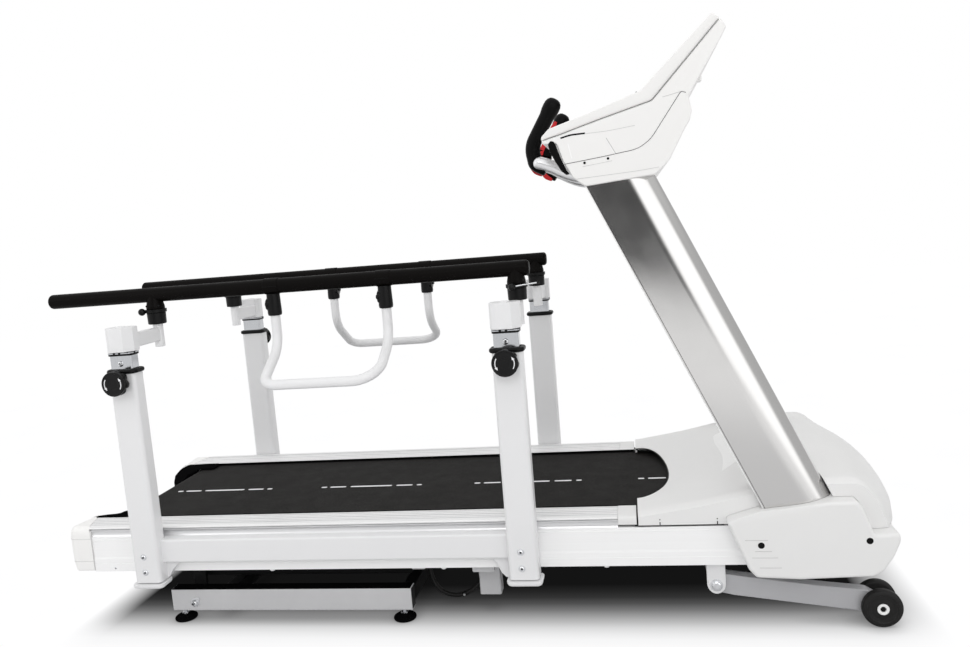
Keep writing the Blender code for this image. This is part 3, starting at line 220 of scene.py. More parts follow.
UP_TILT = 0.4340
M = {
    "white": surface("powder_white", (0.825, 0.825, 0.832), 0.34, vary=0.010, grain=520, bump=0.08, coat=0.20, dust=0.015),
    "skirt": surface("skirt_white", (0.975, 0.975, 0.975), 0.36, vary=0.008, grain=600, bump=0.05, coat=0.15,
                     streak=(0, 0, 0, 1.2, 260, 260), sbump=0.5, dust=0.01),
    "shell": surface("shell_white", (0.84, 0.838, 0.832), 0.38, vary=0.010, grain=1500, bump=0.08, dust=0.015),
    "shell_warm": surface("shell_warm_white", (0.875, 0.868, 0.856), 0.38, vary=0.008, grain=1500, bump=0.07),
    "cap_white": surface("cap_warm_white", (0.945, 0.938, 0.925), 0.40, vary=0.008, grain=1500, bump=0.07),
    "grey": surface("grey_paint", (0.59, 0.59, 0.60), 0.36, vary=0.03, grain=480, bump=0.10, coat=0.10, edge=0.35,
                    dust=0.03),
    "arm_grey": surface("arm_paint", (0.47, 0.47, 0.485), 0.36, vary=0.03, grain=480, bump=0.10, coat=0.10, edge=0.35,
                        dust=0.03),
    "rail_alu": surface("rail_aluminium", (0.90, 0.90, 0.90), 0.40, 0.45, vary=0.045, grain=700, bump=0.06,
                        streak=(0, 0, 0, 2.0, 420, 420), sbump=0.8, rvar=0.04),
    "up_alu": surface("brushed_aluminium", (0.70, 0.692, 0.685), 0.15, 1.0, vary=0.012, blotch=1.5, grain=900, bump=0.020,
                      streak=(0, UP_TILT, 0, 420, 420, 1.2), sbump=0.9, rvar=0.018),
    "tube_alu": surface("drawn_tube", (0.53, 0.54, 0.56), 0.13, 1.0, vary=0.03, grain=800, bump=0.06,
                        streak=(0, 0, 0, 500, 500, 3.0), sbump=0.9, rvar=0.03),
    "bright": surface("bright_tube", (0.84, 0.84, 0.85), 0.16, 1.0, vary=0.02, grain=700, bump=0.04, rvar=0.03),
    "satin": surface("satin_tube", (0.86, 0.86, 0.87), 0.34, 0.85, vary=0.015, grain=700, bump=0.04, rvar=0.03),
    "steel": surface("turned_steel", (0.50, 0.50, 0.51), 0.32, 1.0, vary=0.06, grain=600, bump=0.10,
                     streak=(0, 0, 0, 300, 6, 300), sbump=0.7, dust=0.05),
    "zinc": surface("zinc_plate", (0.80, 0.81, 0.83), 0.22, 1.0, vary=0.05, blotch=60, grain=900, bump=0.08, rvar=0.06),
    "black": surface("moulded_black", (0.0042, 0.0042, 0.0044), 0.38, vary=0.12, grain=1300, bump=0.14, edge=0.20,
                     spec=0.17),
    "gloss_black": surface("gloss_black", (0.004, 0.004, 0.0042), 0.22, vary=0.10, grain=1300, bump=0.05, coat=0.06,
                           spec=0.18),
    "sleeve": surface("sleeve_rubber", (0.0036, 0.0029, 0.0026), 0.42, vary=0.10, grain=1100, bump=0.18, depth=0.0002,
                      rvar=0.06, spec=0.06),
    "grip": surface("grip_rubber", (0.0016, 0.0016, 0.0017), 0.40, vary=0.10, grain=1000, bump=0.16, spec=0.10),
    "rubber": surface("tyre_rubber", (0.008, 0.0075, 0.0072), 0.55, vary=0.15, grain=900, bump=0.28, edge=0.25, dust=0.02,
                      spec=0.3),
    "belt": surface("belt_pvc", (0.0110, 0.0103, 0.0097), 0.78, vary=0.06, blotch=2.0, grain=620, bump=0.8,
                    depth=0.0004, weave=2600.0, fleck=1.0, spec=0.14),
    "dash": surface("dash_print", (0.86, 0.86, 0.88), 0.55, vary=0.05, blotch=40, grain=620, bump=0.4, fleck=0.05),
    "wood": surface("phenolic_board", (0.10, 0.070, 0.050), 0.50, vary=0.18, blotch=9, grain=500, bump=0.2,
                    streak=(0, 0, 0, 3.0, 90, 90), sbump=0.7),
    "red": surface("red_plastic", (0.56, 0.006, 0.010), 0.30, vary=0.05, grain=900, bump=0.08, coat=0.4),
    # near-black: painted shade in screw recesses, holes, slots and splits; also the gasket under the hood's edge
    "dark": surface("recess_dark", (0.004, 0.004, 0.004), 0.70, vary=0.1, grain=900, bump=0.1, spec=0.15),
    "line": surface("seam_shadow", (0.075, 0.075, 0.075), 0.75, vary=0.1, grain=900, bump=0.1, spec=0.2),
    "softline": surface("seam_soft", (0.62, 0.615, 0.61), 0.60, vary=0.05, grain=900, bump=0.1, spec=0.3),
    # near-white: painted highlights on the upright's rear edge, the hood brow and the console cheeks; also the upright
    # linings and the castor hubs
    "lightline": surface("edge_light", (0.95, 0.95, 0.945), 0.45, vary=0.02, grain=900, bump=0.05, spec=0.4),
    # near-black for painted shade under the frame: the trays, the base lugs and the base's cross tubes
    "shade_black": surface("painted_shade_black", (0.005, 0.005, 0.0053), 0.60, vary=0.15, grain=700, bump=0.25, spec=0.15, dust=0.01),
    "rail_band": surface("rail_band", (0.60, 0.60, 0.61), 0.34, 0.55, vary=0.05, grain=700, bump=0.06,
                         streak=(0, 0, 0, 2.0, 420, 420), sbump=0.8, rvar=0.04),
    "matt_black": surface("matt_black", (0.0042, 0.0042, 0.0044), 0.78, vary=0.12, grain=1100, bump=0.12, spec=0.0),
    "glass": surface("display_glass", (0.010, 0.011, 0.013), 0.10, vary=0.04, grain=900, bump=0.0, coat=0.6, rvar=0.03),
    "keys": surface("key_pad", (0.42, 0.425, 0.43), 0.48, vary=0.03, grain=1400, bump=0.12),
}


# ------------------------------------------------------------------ mesh tools
def mesh_obj(name, bm, mat, smooth=38):
    bmesh.ops.remove_doubles(bm, verts=bm.verts, dist=1e-6)
    bmesh.ops.recalc_face_normals(bm, faces=bm.faces)
    me = bpy.data.meshes.new(name)
    bm.to_mesh(me)
    bm.free()
    if mat is not None:
        me.materials.append(M[mat])
    ob = bpy.data.objects.new(name, me)
    COL.objects.link(ob)
    if smooth:
        me.shade_smooth()
        me.set_sharp_from_angle(angle=math.radians(smooth))
    return ob


def at_axis(axis, p, h):
    return {"x": (h, p[0], p[1]), "y": (p[0], h, p[1]), "z": (p[0], p[1], h)}[axis]


def prism(name, pts, axis, lo, hi, mat=None, bevel=0.0, seg=3, smooth=38):
    lo, hi = min(lo, hi), max(lo, hi)
    bm = bmesh.new()
    a = [bm.verts.new(at_axis(axis, p, lo)) for p in pts]
    b = [bm.verts.new(at_axis(axis, p, hi)) for p in pts]
    bm.faces.new(a)
    bm.faces.new(list(reversed(b)))
    n = len(pts)
    for i in range(n):
        bm.faces.new((a[i], b[i], b[(i + 1) % n], a[(i + 1) % n]))
    bmesh.ops.recalc_face_normals(bm, faces=bm.faces)
    if bevel > 0:
        sharp = [e for e in bm.edges if len(e.link_faces) == 2 and e.calc_face_angle(0.0) > math.radians(34)]
        bmesh.ops.bevel(bm, geom=sharp, offset=bevel, segments=seg, profile=0.5, affect="EDGES", clamp_overlap=True)
    return mesh_obj(name, bm, mat, smooth)


def box(name, x0, x1, y0, y1, z0, z1, mat=None, bevel=0.002, seg=3):
    y0, y1 = min(y0, y1), max(y0, y1)
    return prism(name, [(x0, y0), (x1, y0), (x1, y1), (x0, y1)], "z", z0, z1, mat, bevel, seg)


def round_rect(cx, cy, w, h, r, n=8):
    pts = []
    for sx, sy, a0 in ((1, 1, 0), (-1, 1, 90), (-1, -1, 180), (1, -1, 270)):
        for i in range(n + 1):
            a = math.radians(a0 + 90.0 * i / n)
            pts.append((cx + sx * (w / 2 - r) + r * math.cos(a), cy + sy * (h / 2 - r) + r * math.sin(a)))
    return pts


def circle(cx, cy, r, n=40, a0=0.0):
    return [(cx + r * math.cos(a0 + 2 * math.pi * i / n), cy + r * math.sin(a0 + 2 * math.pi * i / n))
            for i in range(n)]


def round_poly(pts, r, n=5):
    """Round the corners of a closed outline. r may be one radius or one for each corner."""
    out = []
    m = len(pts)
    for i in range(m):
        a, p, b = Vector(pts[i - 1]), Vector(pts[i]), Vector(pts[(i + 1) % m])
        rr = r[i] if isinstance(r, (list, tuple)) else r
        d0, d1 = a - p, b - p
        l0, l1 = d0.length, d1.length
        d0.normalize()
        d1.normalize()
        ang = math.acos(max(-1.0, min(1.0, d0.dot(d1))))
        if rr <= 0 or ang > math.radians(176):
            out.append(tuple(p))
            continue
        t = min(rr / math.tan(ang / 2), 0.47 * l0, 0.47 * l1)
        s, e = p + d0 * t, p + d1 * t
        for k in range(n + 1):
            u = k / n
            q = s * (1 - u) ** 2 + p * 2 * u * (1 - u) + e * u * u
            out.append((q.x, q.y))
    return out


def inset_poly(pts, d):
    area = sum(pts[i][0] * pts[(i + 1) % len(pts)][1] - pts[(i + 1) % len(pts)][0] * pts[i][1]
               for i in range(len(pts)))
    sg = 1.0 if area > 0 else -1.0
    out = []
    n = len(pts)
    for i in range(n):
        a, b, c = Vector(pts[i - 1]), Vector(pts[i]), Vector(pts[(i + 1) % n])
        e0, e1 = (b - a).normalized(), (c - b).normalized()
        n0, n1 = Vector((-e0.y, e0.x)) * sg, Vector((-e1.y, e1.x)) * sg
        mm = (n0 + n1)
        if mm.length < 1e-6:
            mm = n0.copy()
        mm.normalize()
        out.append(tuple(b + mm * (d / max(0.35, mm.dot(n0)))))
    return out


def soft_outline(pts, r, d=0.0, n=5):
    """Sharp outline moved inwards by d, then rounded, so every level keeps the same point count."""
    return round_poly(inset_poly(pts, d) if abs(d) > 1e-7 else pts, r, n)


def rings(name, stack, mat, close=True, smooth=38):
    """Loft through outlines with equal point counts. Each is a list of 3-D points."""
    bm = bmesh.new()
    rows = [[bm.verts.new(p) for p in ring] for ring in stack]
    n = len(rows[0])
    for a, b in zip(rows, rows[1:]):
        for k in range(n):
            bm.faces.new((a[k], b[k], b[(k + 1) % n], a[(k + 1) % n]))
    if close:
        bm.faces.new(rows[0])
        bm.faces.new(rows[-1])
    return mesh_obj(name, bm, mat, smooth)


def pillow_prism(name, pts, axis, lo, hi, r, mat, steps=4, both=True, smooth=38):
    """Extrusion whose end faces have a rounded rim of radius r. lo to hi may run either way; the rim at hi
    always exists, the one at lo only where both is true."""
    sg = 1.0 if hi > lo else -1.0
    stack = []
    seq = []
    if both:
        for k in range(steps + 1):
            a = math.radians(90 * k / steps)
            seq.append((lo + sg * r * (1 - math.cos(a)), r * (1 - math.sin(a))))
    else:
        seq.append((lo, 0.0))
    for k in range(steps + 1):
        a = math.radians(90 * k / steps)
        seq.append((hi - sg * r * (1 - math.sin(a)), r * (1 - math.cos(a))))
    for h, d in seq:
        outline = inset_poly(pts, d) if d > 1e-7 else pts
        stack.append([at_axis(axis, p, h) for p in outline])
    return rings(name, stack, mat, True, smooth)


def hollow_tube(name, outer, inner, lo, hi, floor, mat, lip=0.0012):
    """Upright tube, open at the top down to floor; outer and inner have equal point counts."""
    stack = [[(p[0], p[1], lo) for p in outer], [(p[0], p[1], hi - lip) for p in outer],
             [(p[0], p[1], hi) for p in inset_poly(outer, lip)], [(p[0], p[1], hi) for p in inset_poly(inner, -lip * 0.5)],
             [(p[0], p[1], hi - lip) for p in inner], [(p[0], p[1], floor) for p in inner]]
    return rings(name, stack, mat, True, 38)


def frame_of(ax):
    ax = Vector(ax).normalized()
    ref = Vector((0, 0, 1)) if abs(ax.z) < 0.9 else Vector((1, 0, 0))
    u = ax.cross(ref).normalized()
    v = ax.cross(u).normalized()
    return ax, u, v


def lathe(name, profile, origin, axis, n=48, mat=None, smooth=38):
    named = {"x": (1, 0, 0), "y": (0, 1, 0), "z": (0, 0, 1), "-y": (0, -1, 0)}
    ax, u, v = frame_of(named[axis] if isinstance(axis, str) else axis)
    o = Vector(origin)
    bm = bmesh.new()
    rows = []
    for r, h in profile:
        if r <= 1e-9:
            rows.append([bm.verts.new(o + ax * h)])
        else:
            rows.append([bm.verts.new(o + ax * h + (u * math.cos(2 * math.pi * i / n) +
                                                  v * math.sin(2 * math.pi * i / n)) * r) for i in range(n)])
    for a, b in zip(rows, rows[1:]):
        for i in range(n):
            j = (i + 1) % n
            if len(a) == 1 and len(b) > 1:
                bm.faces.new((a[0], b[i], b[j]))
            elif len(b) == 1 and len(a) > 1:
                bm.faces.new((a[i], b[0], a[j]))
            elif len(a) > 1:
                bm.faces.new((a[i], b[i], b[j], a[j]))
    same = (profile[0][0] - profile[-1][0]) ** 2 + (profile[0][1] - profile[-1][1]) ** 2 < 1e-16
    if not same:
        for row in (rows[0], rows[-1]):
            if len(row) > 1:
                bm.faces.new(row)
    return mesh_obj(name, bm, mat, smooth)


def soft_profile(profile, r, n=4):
    """Round the inner corners of an open (radius, height) profile."""
    out = [profile[0]]
    for i in range(1, len(profile) - 1):
        a, p, b = Vector(profile[i - 1]), Vector(profile[i]), Vector(profile[i + 1])
        d0, d1 = a - p, b - p
        t = min(r, 0.45 * d0.length, 0.45 * d1.length)
        d0.normalize()
        d1.normalize()
        if abs(d0.dot(d1)) > 0.995 or p.x <= 1e-9:
            out.append(tuple(p))
            continue
        s, e = p + d0 * t, p + d1 * t
        for k in range(n + 1):
            u = k / n
            q = s * (1 - u) ** 2 + p * 2 * u * (1 - u) + e * u * u
            out.append((q.x, q.y))
    out.append(profile[-1])
    return out


def fillet_path(ctrl, radii, step=0.10):
    pts = [Vector(ctrl[0])]
    for i in range(1, len(ctrl) - 1):
        p, a, b = Vector(ctrl[i]), Vector(ctrl[i - 1]), Vector(ctrl[i + 1])
        d0, d1 = (a - p).normalized(), (b - p).normalized()
        ang = math.acos(max(-1.0, min(1.0, d0.dot(d1))))
        r = radii[i - 1]
        turn = math.pi - ang
        if r <= 0 or turn < 1e-3:
            pts.append(p)
            continue
        t = r / math.tan(ang / 2)
        s, e = p + d0 * t, p + d1 * t
        bis = (d0 + d1).normalized()
        c = p + bis * (r / math.sin(ang / 2))
        n = max(2, int(math.ceil(turn / step)))
        vs, ve = (s - c), (e - c)
        axis = vs.cross(ve).normalized()
        for k in range(n + 1):
            pts.append(c + Matrix.Rotation(turn * k / n, 3, axis) @ vs)
    pts.append(Vector(ctrl[-1]))
    return pts


def tube(name, pts, r, n=28, mat=None, radii=None, smooth=50):
    bm = bmesh.new()
    pts = [Vector(p) for p in pts]
    tang = []
    for i, p in enumerate(pts):
        a = pts[max(0, i - 1)]
        b = pts[min(len(pts) - 1, i + 1)]
        if 0 < i < len(pts) - 1:
            t = ((p - a).normalized() + (b - p).normalized()).normalized()
        else:
            t = (b - a).normalized()
        tang.append(t)
    ref = Vector((0, 0, 1)) if abs(tang[0].z) < 0.9 else Vector((1, 0, 0))
    nrm = tang[0].cross(ref).normalized()
    rows = []
    for i, p in enumerate(pts):
        if i:
            nrm = (tang[i - 1].rotation_difference(tang[i]) @ nrm).normalized()
        bn = tang[i].cross(nrm).normalized()
        rr = radii[i] if radii else r
        rows.append([bm.verts.new(p + (nrm * math.cos(2 * math.pi * k / n) + bn * math.sin(2 * math.pi * k / n)) * rr)
                     for k in range(n)])
    for a, b in zip(rows, rows[1:]):
        for k in range(n):
            bm.faces.new((a[k], b[k], b[(k + 1) % n], a[(k + 1) % n]))
    bm.faces.new(rows[0])
    bm.faces.new(rows[-1])
    return mesh_obj(name, bm, mat, smooth)


def boolean(a, b, op="DIFFERENCE", smooth=38):
    mod = a.modifiers.new("cut", "BOOLEAN")
    mod.operation = op
    mod.solver = "EXACT"
    mod.object = b
    dg = bpy.context.evaluated_depsgraph_get()
    dg.update()
    me = bpy.data.meshes.new_from_object(a.evaluated_get(dg))
    a.modifiers.clear()
    mats = [m for m in a.data.materials]
    old = a.data
    a.data = me
    me.materials.clear()
    for m in mats[:1]:
        me.materials.append(m)
    for p in me.polygons:
        p.material_index = 0
    bpy.data.meshes.remove(old)
    data = b.data
    bpy.data.objects.remove(b, do_unlink=True)
    if data.users == 0:
        bpy.data.meshes.remove(data)
    me.shade_smooth()
    me.set_sharp_from_angle(angle=math.radians(smooth))
    return a


def cut(a, *rest, smooth=38):
    for b in rest:
        boolean(a, b, "DIFFERENCE", smooth)
    return a


def soften(ob, w, seg=3, angle=35):
    """Small rounded edges with clean shading."""
    mod = ob.modifiers.new("edge", "BEVEL")
    mod.width = w
    mod.segments = seg
    mod.limit_method = "ANGLE"
    mod.angle_limit = math.radians(angle)
    mod.use_clamp_overlap = True
    mod.harden_normals = True
    return ob


def put(ob, body, slot, *nodes):
    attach(ob, body)
    if nodes:
        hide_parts(*nodes)
    return ob


# ------------------------------------------------------------------ fasteners
def place_at(name, parts, origin, normal, body, slot):
    """parts are (material, (vertices, faces)) pairs built along +Z and turned to normal."""
    ax, u, v = frame_of(normal)
    o = Vector(origin)
    made = []
    for i, (mat, verts_faces) in enumerate(parts):
        bm = bmesh.new()
        vs = [bm.verts.new(o + u * p[0] + v * p[1] + ax * p[2]) for p in verts_faces[0]]
        for f in verts_faces[1]:
            bm.faces.new([vs[k] for k in f])
        ob = mesh_obj(name if i == 0 else "%s_%d" % (name, i), bm, mat, 35)
        put(ob, body, slot)
        made.append(ob)
    return made


def turned(profile, n=28):
    vs, fs = [], []
    idx = []
    for r, h in profile:
        if r <= 1e-9:
            idx.append([len(vs)])
            vs.append((0, 0, h))
        else:
            row = []
            for i in range(n):
                a = 2 * math.pi * i / n
                row.append(len(vs))
                vs.append((r * math.cos(a), r * math.sin(a), h))
            idx.append(row)
    for a, b in zip(idx, idx[1:]):
        for i in range(n):
            j = (i + 1) % n
            if len(a) == 1 and len(b) > 1:
                fs.append((a[0], b[i], b[j]))
            elif len(b) == 1 and len(a) > 1:
                fs.append((a[i], b[0], a[j]))
            elif len(a) > 1:
                fs.append((a[i], b[i], b[j], a[j]))
    if len(idx[0]) > 1:
        fs.append(tuple(idx[0]))
    if len(idx[-1]) > 1:
        fs.append(tuple(idx[-1]))
    return vs, fs


def slab(w, h, z0, z1):
    vs = [(-w, -h, z0), (w, -h, z0), (w, h, z0), (-w, h, z0), (-w, -h, z1), (w, -h, z1), (w, h, z1), (-w, h, z1)]
    fs = [(0, 1, 2, 3), (4, 5, 6, 7), (0, 1, 5, 4), (1, 2, 6, 5), (2, 3, 7, 6), (3, 0, 4, 7)]
    return vs, fs


def button_bolt(name, origin, normal, r, h, body, washer=1.35):
    dome = [(0, -0.002), (r, -0.002), (r, h * 0.25), (r * 0.93, h * 0.55), (r * 0.76, h * 0.82), (r * 0.55, h),
            (r * 0.50, h), (r * 0.46, h * 0.45), (0, h * 0.40)]
    parts = [("zinc", turned(dome))]
    if washer:
        parts.append(("zinc", turned([(0, -0.002), (r * washer, -0.002), (r * washer, 0.0006), (r * washer * 0.94, 0.0012),
                                      (0, 0.0012)])))
    # near-black socket floor: painted shade in the recess
    parts.append(("dark", turned([(0, h * 0.3), (r * 0.40, h * 0.3), (r * 0.40, h * 0.47), (0, h * 0.47)], 6)))
    return place_at(name, parts, origin, normal, body, "bare_steel")


# round screw head with a near-black cross for its recess: painted shade
def cross_screw(name, origin, normal, r, h, body, mat="zinc"):
    dome = [(0, -0.001), (r, -0.001), (r, h * 0.3), (r * 0.85, h * 0.75), (r * 0.55, h * 0.97), (0, h)]
    parts = [(mat, turned(dome)), ("dark", slab(r * 0.58, r * 0.12, h * 0.5, h * 1.04)),
             ("dark", slab(r * 0.12, r * 0.58, h * 0.5, h * 1.045))]
    return place_at(name, parts, origin, normal, body, "bare_steel")


def hex_nut(name, origin, normal, r, h, body, mat="zinc"):
    prof = [(0, 0.0), (r * 0.9, 0.0), (r, h * 0.12), (r, h * 0.88), (r * 0.9, h), (0, h)]
    return place_at(name, [(mat, turned(prof, 6))], origin, normal, body, "bare_steel")


# a near-black disc standing in for a screw hole: painted shade of the hole
def dark_hole(name, origin, normal, r, body, lip="shell"):
    parts = [("dark", turned([(0, -0.003), (r, -0.003), (r, 0.0004), (r * 0.9, 0.0005), (0, 0.0003)]))]
    return place_at(name, parts, origin, normal, body, "black_plastic")


def ribbon(name, pts, axis, h0, h1, width, mat, body=ROOT, slot="white_shell"):
    """Thin strip that follows a line of points in the plane across axis."""
    left, right = [], []
    pts = [Vector(p) for p in pts]
    for i, p in enumerate(pts):
        a, b = pts[max(0, i - 1)], pts[min(len(pts) - 1, i + 1)]
        t = (b - a).normalized()
        nn = Vector((-t.y, t.x))
        left.append(tuple(p + nn * width / 2))
        right.append(tuple(p - nn * width / 2))
    ob = prism(name, left + list(reversed(right)), axis, h0, h1, mat, 0.0)
    return put(ob, body, slot)


def fine_line(pts, r=0.03, n=5):
    """Round the inner corners of an open line."""
    out = [tuple(pts[0])]
    for i in range(1, len(pts) - 1):
        a, p, b = Vector(pts[i - 1]), Vector(pts[i]), Vector(pts[i + 1])
        d0, d1 = a - p, b - p
        t = min(r, 0.45 * d0.length, 0.45 * d1.length)
        s, e = p + d0.normalized() * t, p + d1.normalized() * t
        for k in range(n + 1):
            u = k / n
            q = s * (1 - u) ** 2 + p * 2 * u * (1 - u) + e * u * u
            out.append((q.x, q.y))
    out.append(tuple(pts[-1]))
    return out


# ------------------------------------------------------------------ carried-over pieces that stay as they are
for node, mat in (("deck_board", "wood"), ("front_roller", "steel"), ("rear_roller", "steel"), ("drive_motor", "steel"),
                  ("lift_actuator", "steel"), ("lift_rod", "bright")):
    me = NODES[node].data
    me.materials.clear()
    me.materials.append(M[mat])


# ------------------------------------------------------------------ main frame
def make_frame():
    def part(ob, mat_slot="white_paint"):
        return put(ob, ROOT, mat_slot, "main_frame")

    for side in (-1, 1):
        sn = side_name(side)
        part(pillow_prism("frame_side_tube_" + sn, round_rect(side * 0.330, 0.220, 0.060, 0.060, 0.007, 5), "x",
                          X(0.150), X(2.200), 0.002, "white"))
        for s, k in ((0.1490, "rear"), (2.2002, "front")):
            put(pillow_prism("frame_tube_cap_%s_%s" % (k, sn), round_rect(side * 0.330, 0.220, 0.050, 0.050, 0.005, 4),
                             "x", X(s), X(s) + 0.0012, 0.0005, "black"), ROOT, "black_plastic")
        for s0, s1, k in ((0.084, 0.185, "rear"), (1.800, 1.880, "front")):
            part(prism("roller_bracket_%s_%s" % (k, sn), round_poly([(X(s0), 0.205), (X(s1), 0.205), (X(s1), 0.275),
                                                                       (X(s0), 0.275)], 0.008), "y",
                       side * 0.2885, side * 0.3015, "white", 0.0012))
        # pivot lug for the base, near-black as painted shade under the frame
        px, pz = X(BASE_PIVOT[0]), BASE_PIVOT[1]
        pts = [(px - 0.020, 0.200), (px + 0.020, 0.200)] + \
              [(px + 0.020 * math.cos(a), pz + 0.020 * math.sin(a)) for a in
               [math.radians(-180 * k / 16) for k in range(17)]]
        part(prism("base_lug_" + sn, pts, "y", side * 0.2862, side * 0.2972, "shade_black", 0.0010))
        part(box("base_lug_foot_" + sn, px - 0.020, px + 0.020, side * 0.2966, side * 0.306, 0.182, 0.245, "white",
                 0.0015))
        px, pz = X(ARM_PIVOT[0]), ARM_PIVOT[1]
        pts = [(px - 0.024, 0.195), (px + 0.024, 0.195)] + \
              [(px + 0.024 * math.cos(a), pz + 0.024 * math.sin(a) * 1.15) for a in
               [math.radians(-180 * k / 20) for k in range(21)]]
        part(prism("lift_lug_" + sn, pts, "y", side * 0.3516, side * 0.3594, "white", 0.0012))
        # bright pivot bolt of the lift arm with its washer
        lathe_ob = lathe("lift_pivot_bolt_" + sn, soft_profile([(0, 0.3560), (0.0165, 0.3560), (0.0165, 0.3612),
                                                                  (0.0125, 0.3612), (0.0120, 0.3660), (0.0085, 0.3680),
                                                                  (0, 0.3684)], 0.0012), (px, 0, pz - 0.004),
                         "y" if side > 0 else "-y", 40, "zinc")
        put(lathe_ob, ROOT, "bare_steel")
    z1 = 0.2706
    for i, s in enumerate((0.200, 0.600, 1.000, 1.400, 1.700)):
        part(pillow_prism("cross_member_%d" % (i + 1), round_rect(X(s) + 0.025, (0.2155 + z1) / 2, 0.050, z1 - 0.2155,
                                                                 0.005, 4), "y", -0.3045, 0.3045, 0.0012, "white"))
    part(pillow_prism("low_cross_tube_front", round_rect(X(1.237), 0.1725, 0.062, 0.045, 0.005, 5), "y", -0.352, 0.352,
                      0.0015, "grey"), "grey_paint")
    part(pillow_prism("low_cross_tube_rear", round_rect(X(1.052), 0.1775, 0.040, 0.035, 0.004, 5), "y", -0.352, 0.352,
                      0.0015, "grey"), "grey_paint")
    part(pillow_prism("cable_leg", round_rect(X(1.237), -0.249, 0.062, 0.046, 0.005, 5), "z", 0.160, 0.048, 0.002, "grey"),
         "grey_paint")
    put(pillow_prism("cable_leg_cap", round_rect(X(1.237), -0.249, 0.052, 0.036, 0.004, 5), "z", 0.0500, 0.0474, 0.0008,
                     "black"), ROOT, "black_plastic")
    part(box("front_cross_plate", X(2.150), X(2.198), -0.3045, 0.3045, 0.165, 0.215, "white", 0.003))
    part(box("motor_shelf", X(1.930), X(2.160), -0.3045, -0.035, 0.1905, 0.1965, "steel", 0.001))
    # black trays under the frame: painted shadow, a dark sheet where the belly of the frame lies in shade
    for s0, s1, z0, k in ((0.300, 1.028, 0.112, "rear"), (1.285, 1.834, 0.128, "front")):
        outline = [(X(s0), 0.188), (X(s0) + 0.020, z0), (X(s1) - 0.020, z0), (X(s1), 0.188)]
        ob = prism("belly_shadow_pan_" + k, round_poly(outline, 0.012), "y", -0.268, 0.268, "shade_black", 0.003)
        put(ob, ROOT, "black_plastic")
    # drive belt and controller under the hood
    r1, r2 = 0.026, 0.022
    a, b = Vector((X(1.840), ROLLER_Z)), Vector((X(2.045), 0.270))
    d = (b - a).normalized()
    nn = Vector((-d.y, d.x))
    loop_pts = []
    a0 = math.atan2(nn.y, nn.x)
    for k in range(17):
        t = a0 + math.pi * k / 16
        loop_pts.append((a.x + r1 * math.cos(t), a.y + r1 * math.sin(t)))
    for k in range(17):
        t = a0 + math.pi + math.pi * k / 16
        loop_pts.append((b.x + r2 * math.cos(t), b.y + r2 * math.sin(t)))
    put(prism("drive_belt", loop_pts, "y", -0.0300, -0.0220, "rubber", 0.0006), ROOT, "black_rubber")
    put(box("motor_controller", X(1.960), X(2.110), 0.060, 0.240, 0.2000, 0.2600, "steel", 0.003), ROOT, "bare_steel")


def make_belt():
    belt_r = 0.0453
    out_r = 0.0478

    def loop(r, n=40):
        pts = []
        for k in range(n + 1):
            a = math.radians(90 + 180 * k / n)
            pts.append((X(0.110) + r * math.cos(a), ROLLER_Z + r * math.sin(a)))
        for k in range(n + 1):
            a = math.radians(-90 + 180 * k / n)
            pts.append((X(1.840) + r * math.cos(a), ROLLER_Z + r * math.sin(a)))
        return pts

    o, i = loop(out_r), loop(belt_r)
    e = 0.0006
    mid_o, mid_i = loop(out_r - e), loop(belt_r + e)
    bm = bmesh.new()
    h = 0.277
    secs = [(o, -h + e), (o, h - e), (mid_o, h), (mid_i, h), (i, h - e), (i, -h + e), (mid_i, -h), (mid_o, -h)]
    rows = [[bm.verts.new((p[0], yy, p[1])) for p in lp] for lp, yy in secs]
    n = len(o)
    for r in range(len(rows)):
        a, b = rows[r], rows[(r + 1) % len(rows)]
        for k in range(n):
            j = (k + 1) % n
            bm.faces.new((a[k], a[j], b[j], b[k]))
    put(mesh_obj("running_belt", bm, "belt", 30), ROOT, "belt_weave", "walking_belt")
    dashes = ((0.148, 0.167), (0.178, 0.232), (0.247, 0.386), (0.401, 0.454), (0.468, 0.485))
    c = 0
    for rep in range(4):
        for a, b in dashes:
            a, b = a + 0.508 * rep, b + 0.508 * rep
            if b > 1.83:
                continue
            for zz in (0.30028, 0.20437):
                pts = round_rect(X((a + b) / 2), -0.0205, b - a, 0.0105, 0.0048, 6)
                put(prism("belt_dash_%02d" % c, pts, "z", zz, zz + 0.00035, "dash", 0.0), ROOT, "belt_weave")
                c += 1


# ------------------------------------------------------------------ side extrusions
RAIL_TOP_PROFILE = [(0.2815, 0.3005), (0.2815, 0.3058), (0.2823, 0.3065)]


def rail_profile():
    """Foot rail: gently sloping tread with drawn grooves and a rounded nose."""
    pts = [(0.2815, 0.3005), (0.2815, 0.3060), (0.2822, 0.30655)]

    def top(y):
        return 0.3065 + (y - 0.2815) * (0.311 - 0.3065) / (0.365 - 0.2815)
    for y0, w, d in ((0.2930, 0.0018, 0.0011), (0.3010, 0.0018, 0.0011), (0.3090, 0.0018, 0.0011),
                     (0.3170, 0.0018, 0.0011), (0.3250, 0.0018, 0.0011), (0.3330, 0.0018, 0.0011),
                     (0.3410, 0.0018, 0.0011), (0.3490, 0.0018, 0.0011), (0.3570, 0.0026, 0.0014)):
        pts += [(y0 - w / 2 - 0.0004, top(y0 - w / 2)), (y0 - w / 2, top(y0) - d), (y0 + w / 2, top(y0) - d),
                (y0 + w / 2 + 0.0004, top(y0 + w / 2))]
    pts += [(0.3630, 0.3110), (0.3700, 0.3111)]
    for k in range(9):
        a = math.radians(90 - 115 * k / 8)
        pts.append((0.3738 + 0.0072 * math.cos(a), 0.3065 + 0.0046 * math.sin(a)))
    pts += [(0.3794, 0.3042), (0.3765, 0.3040), (0.3700, 0.3005)]
    return pts


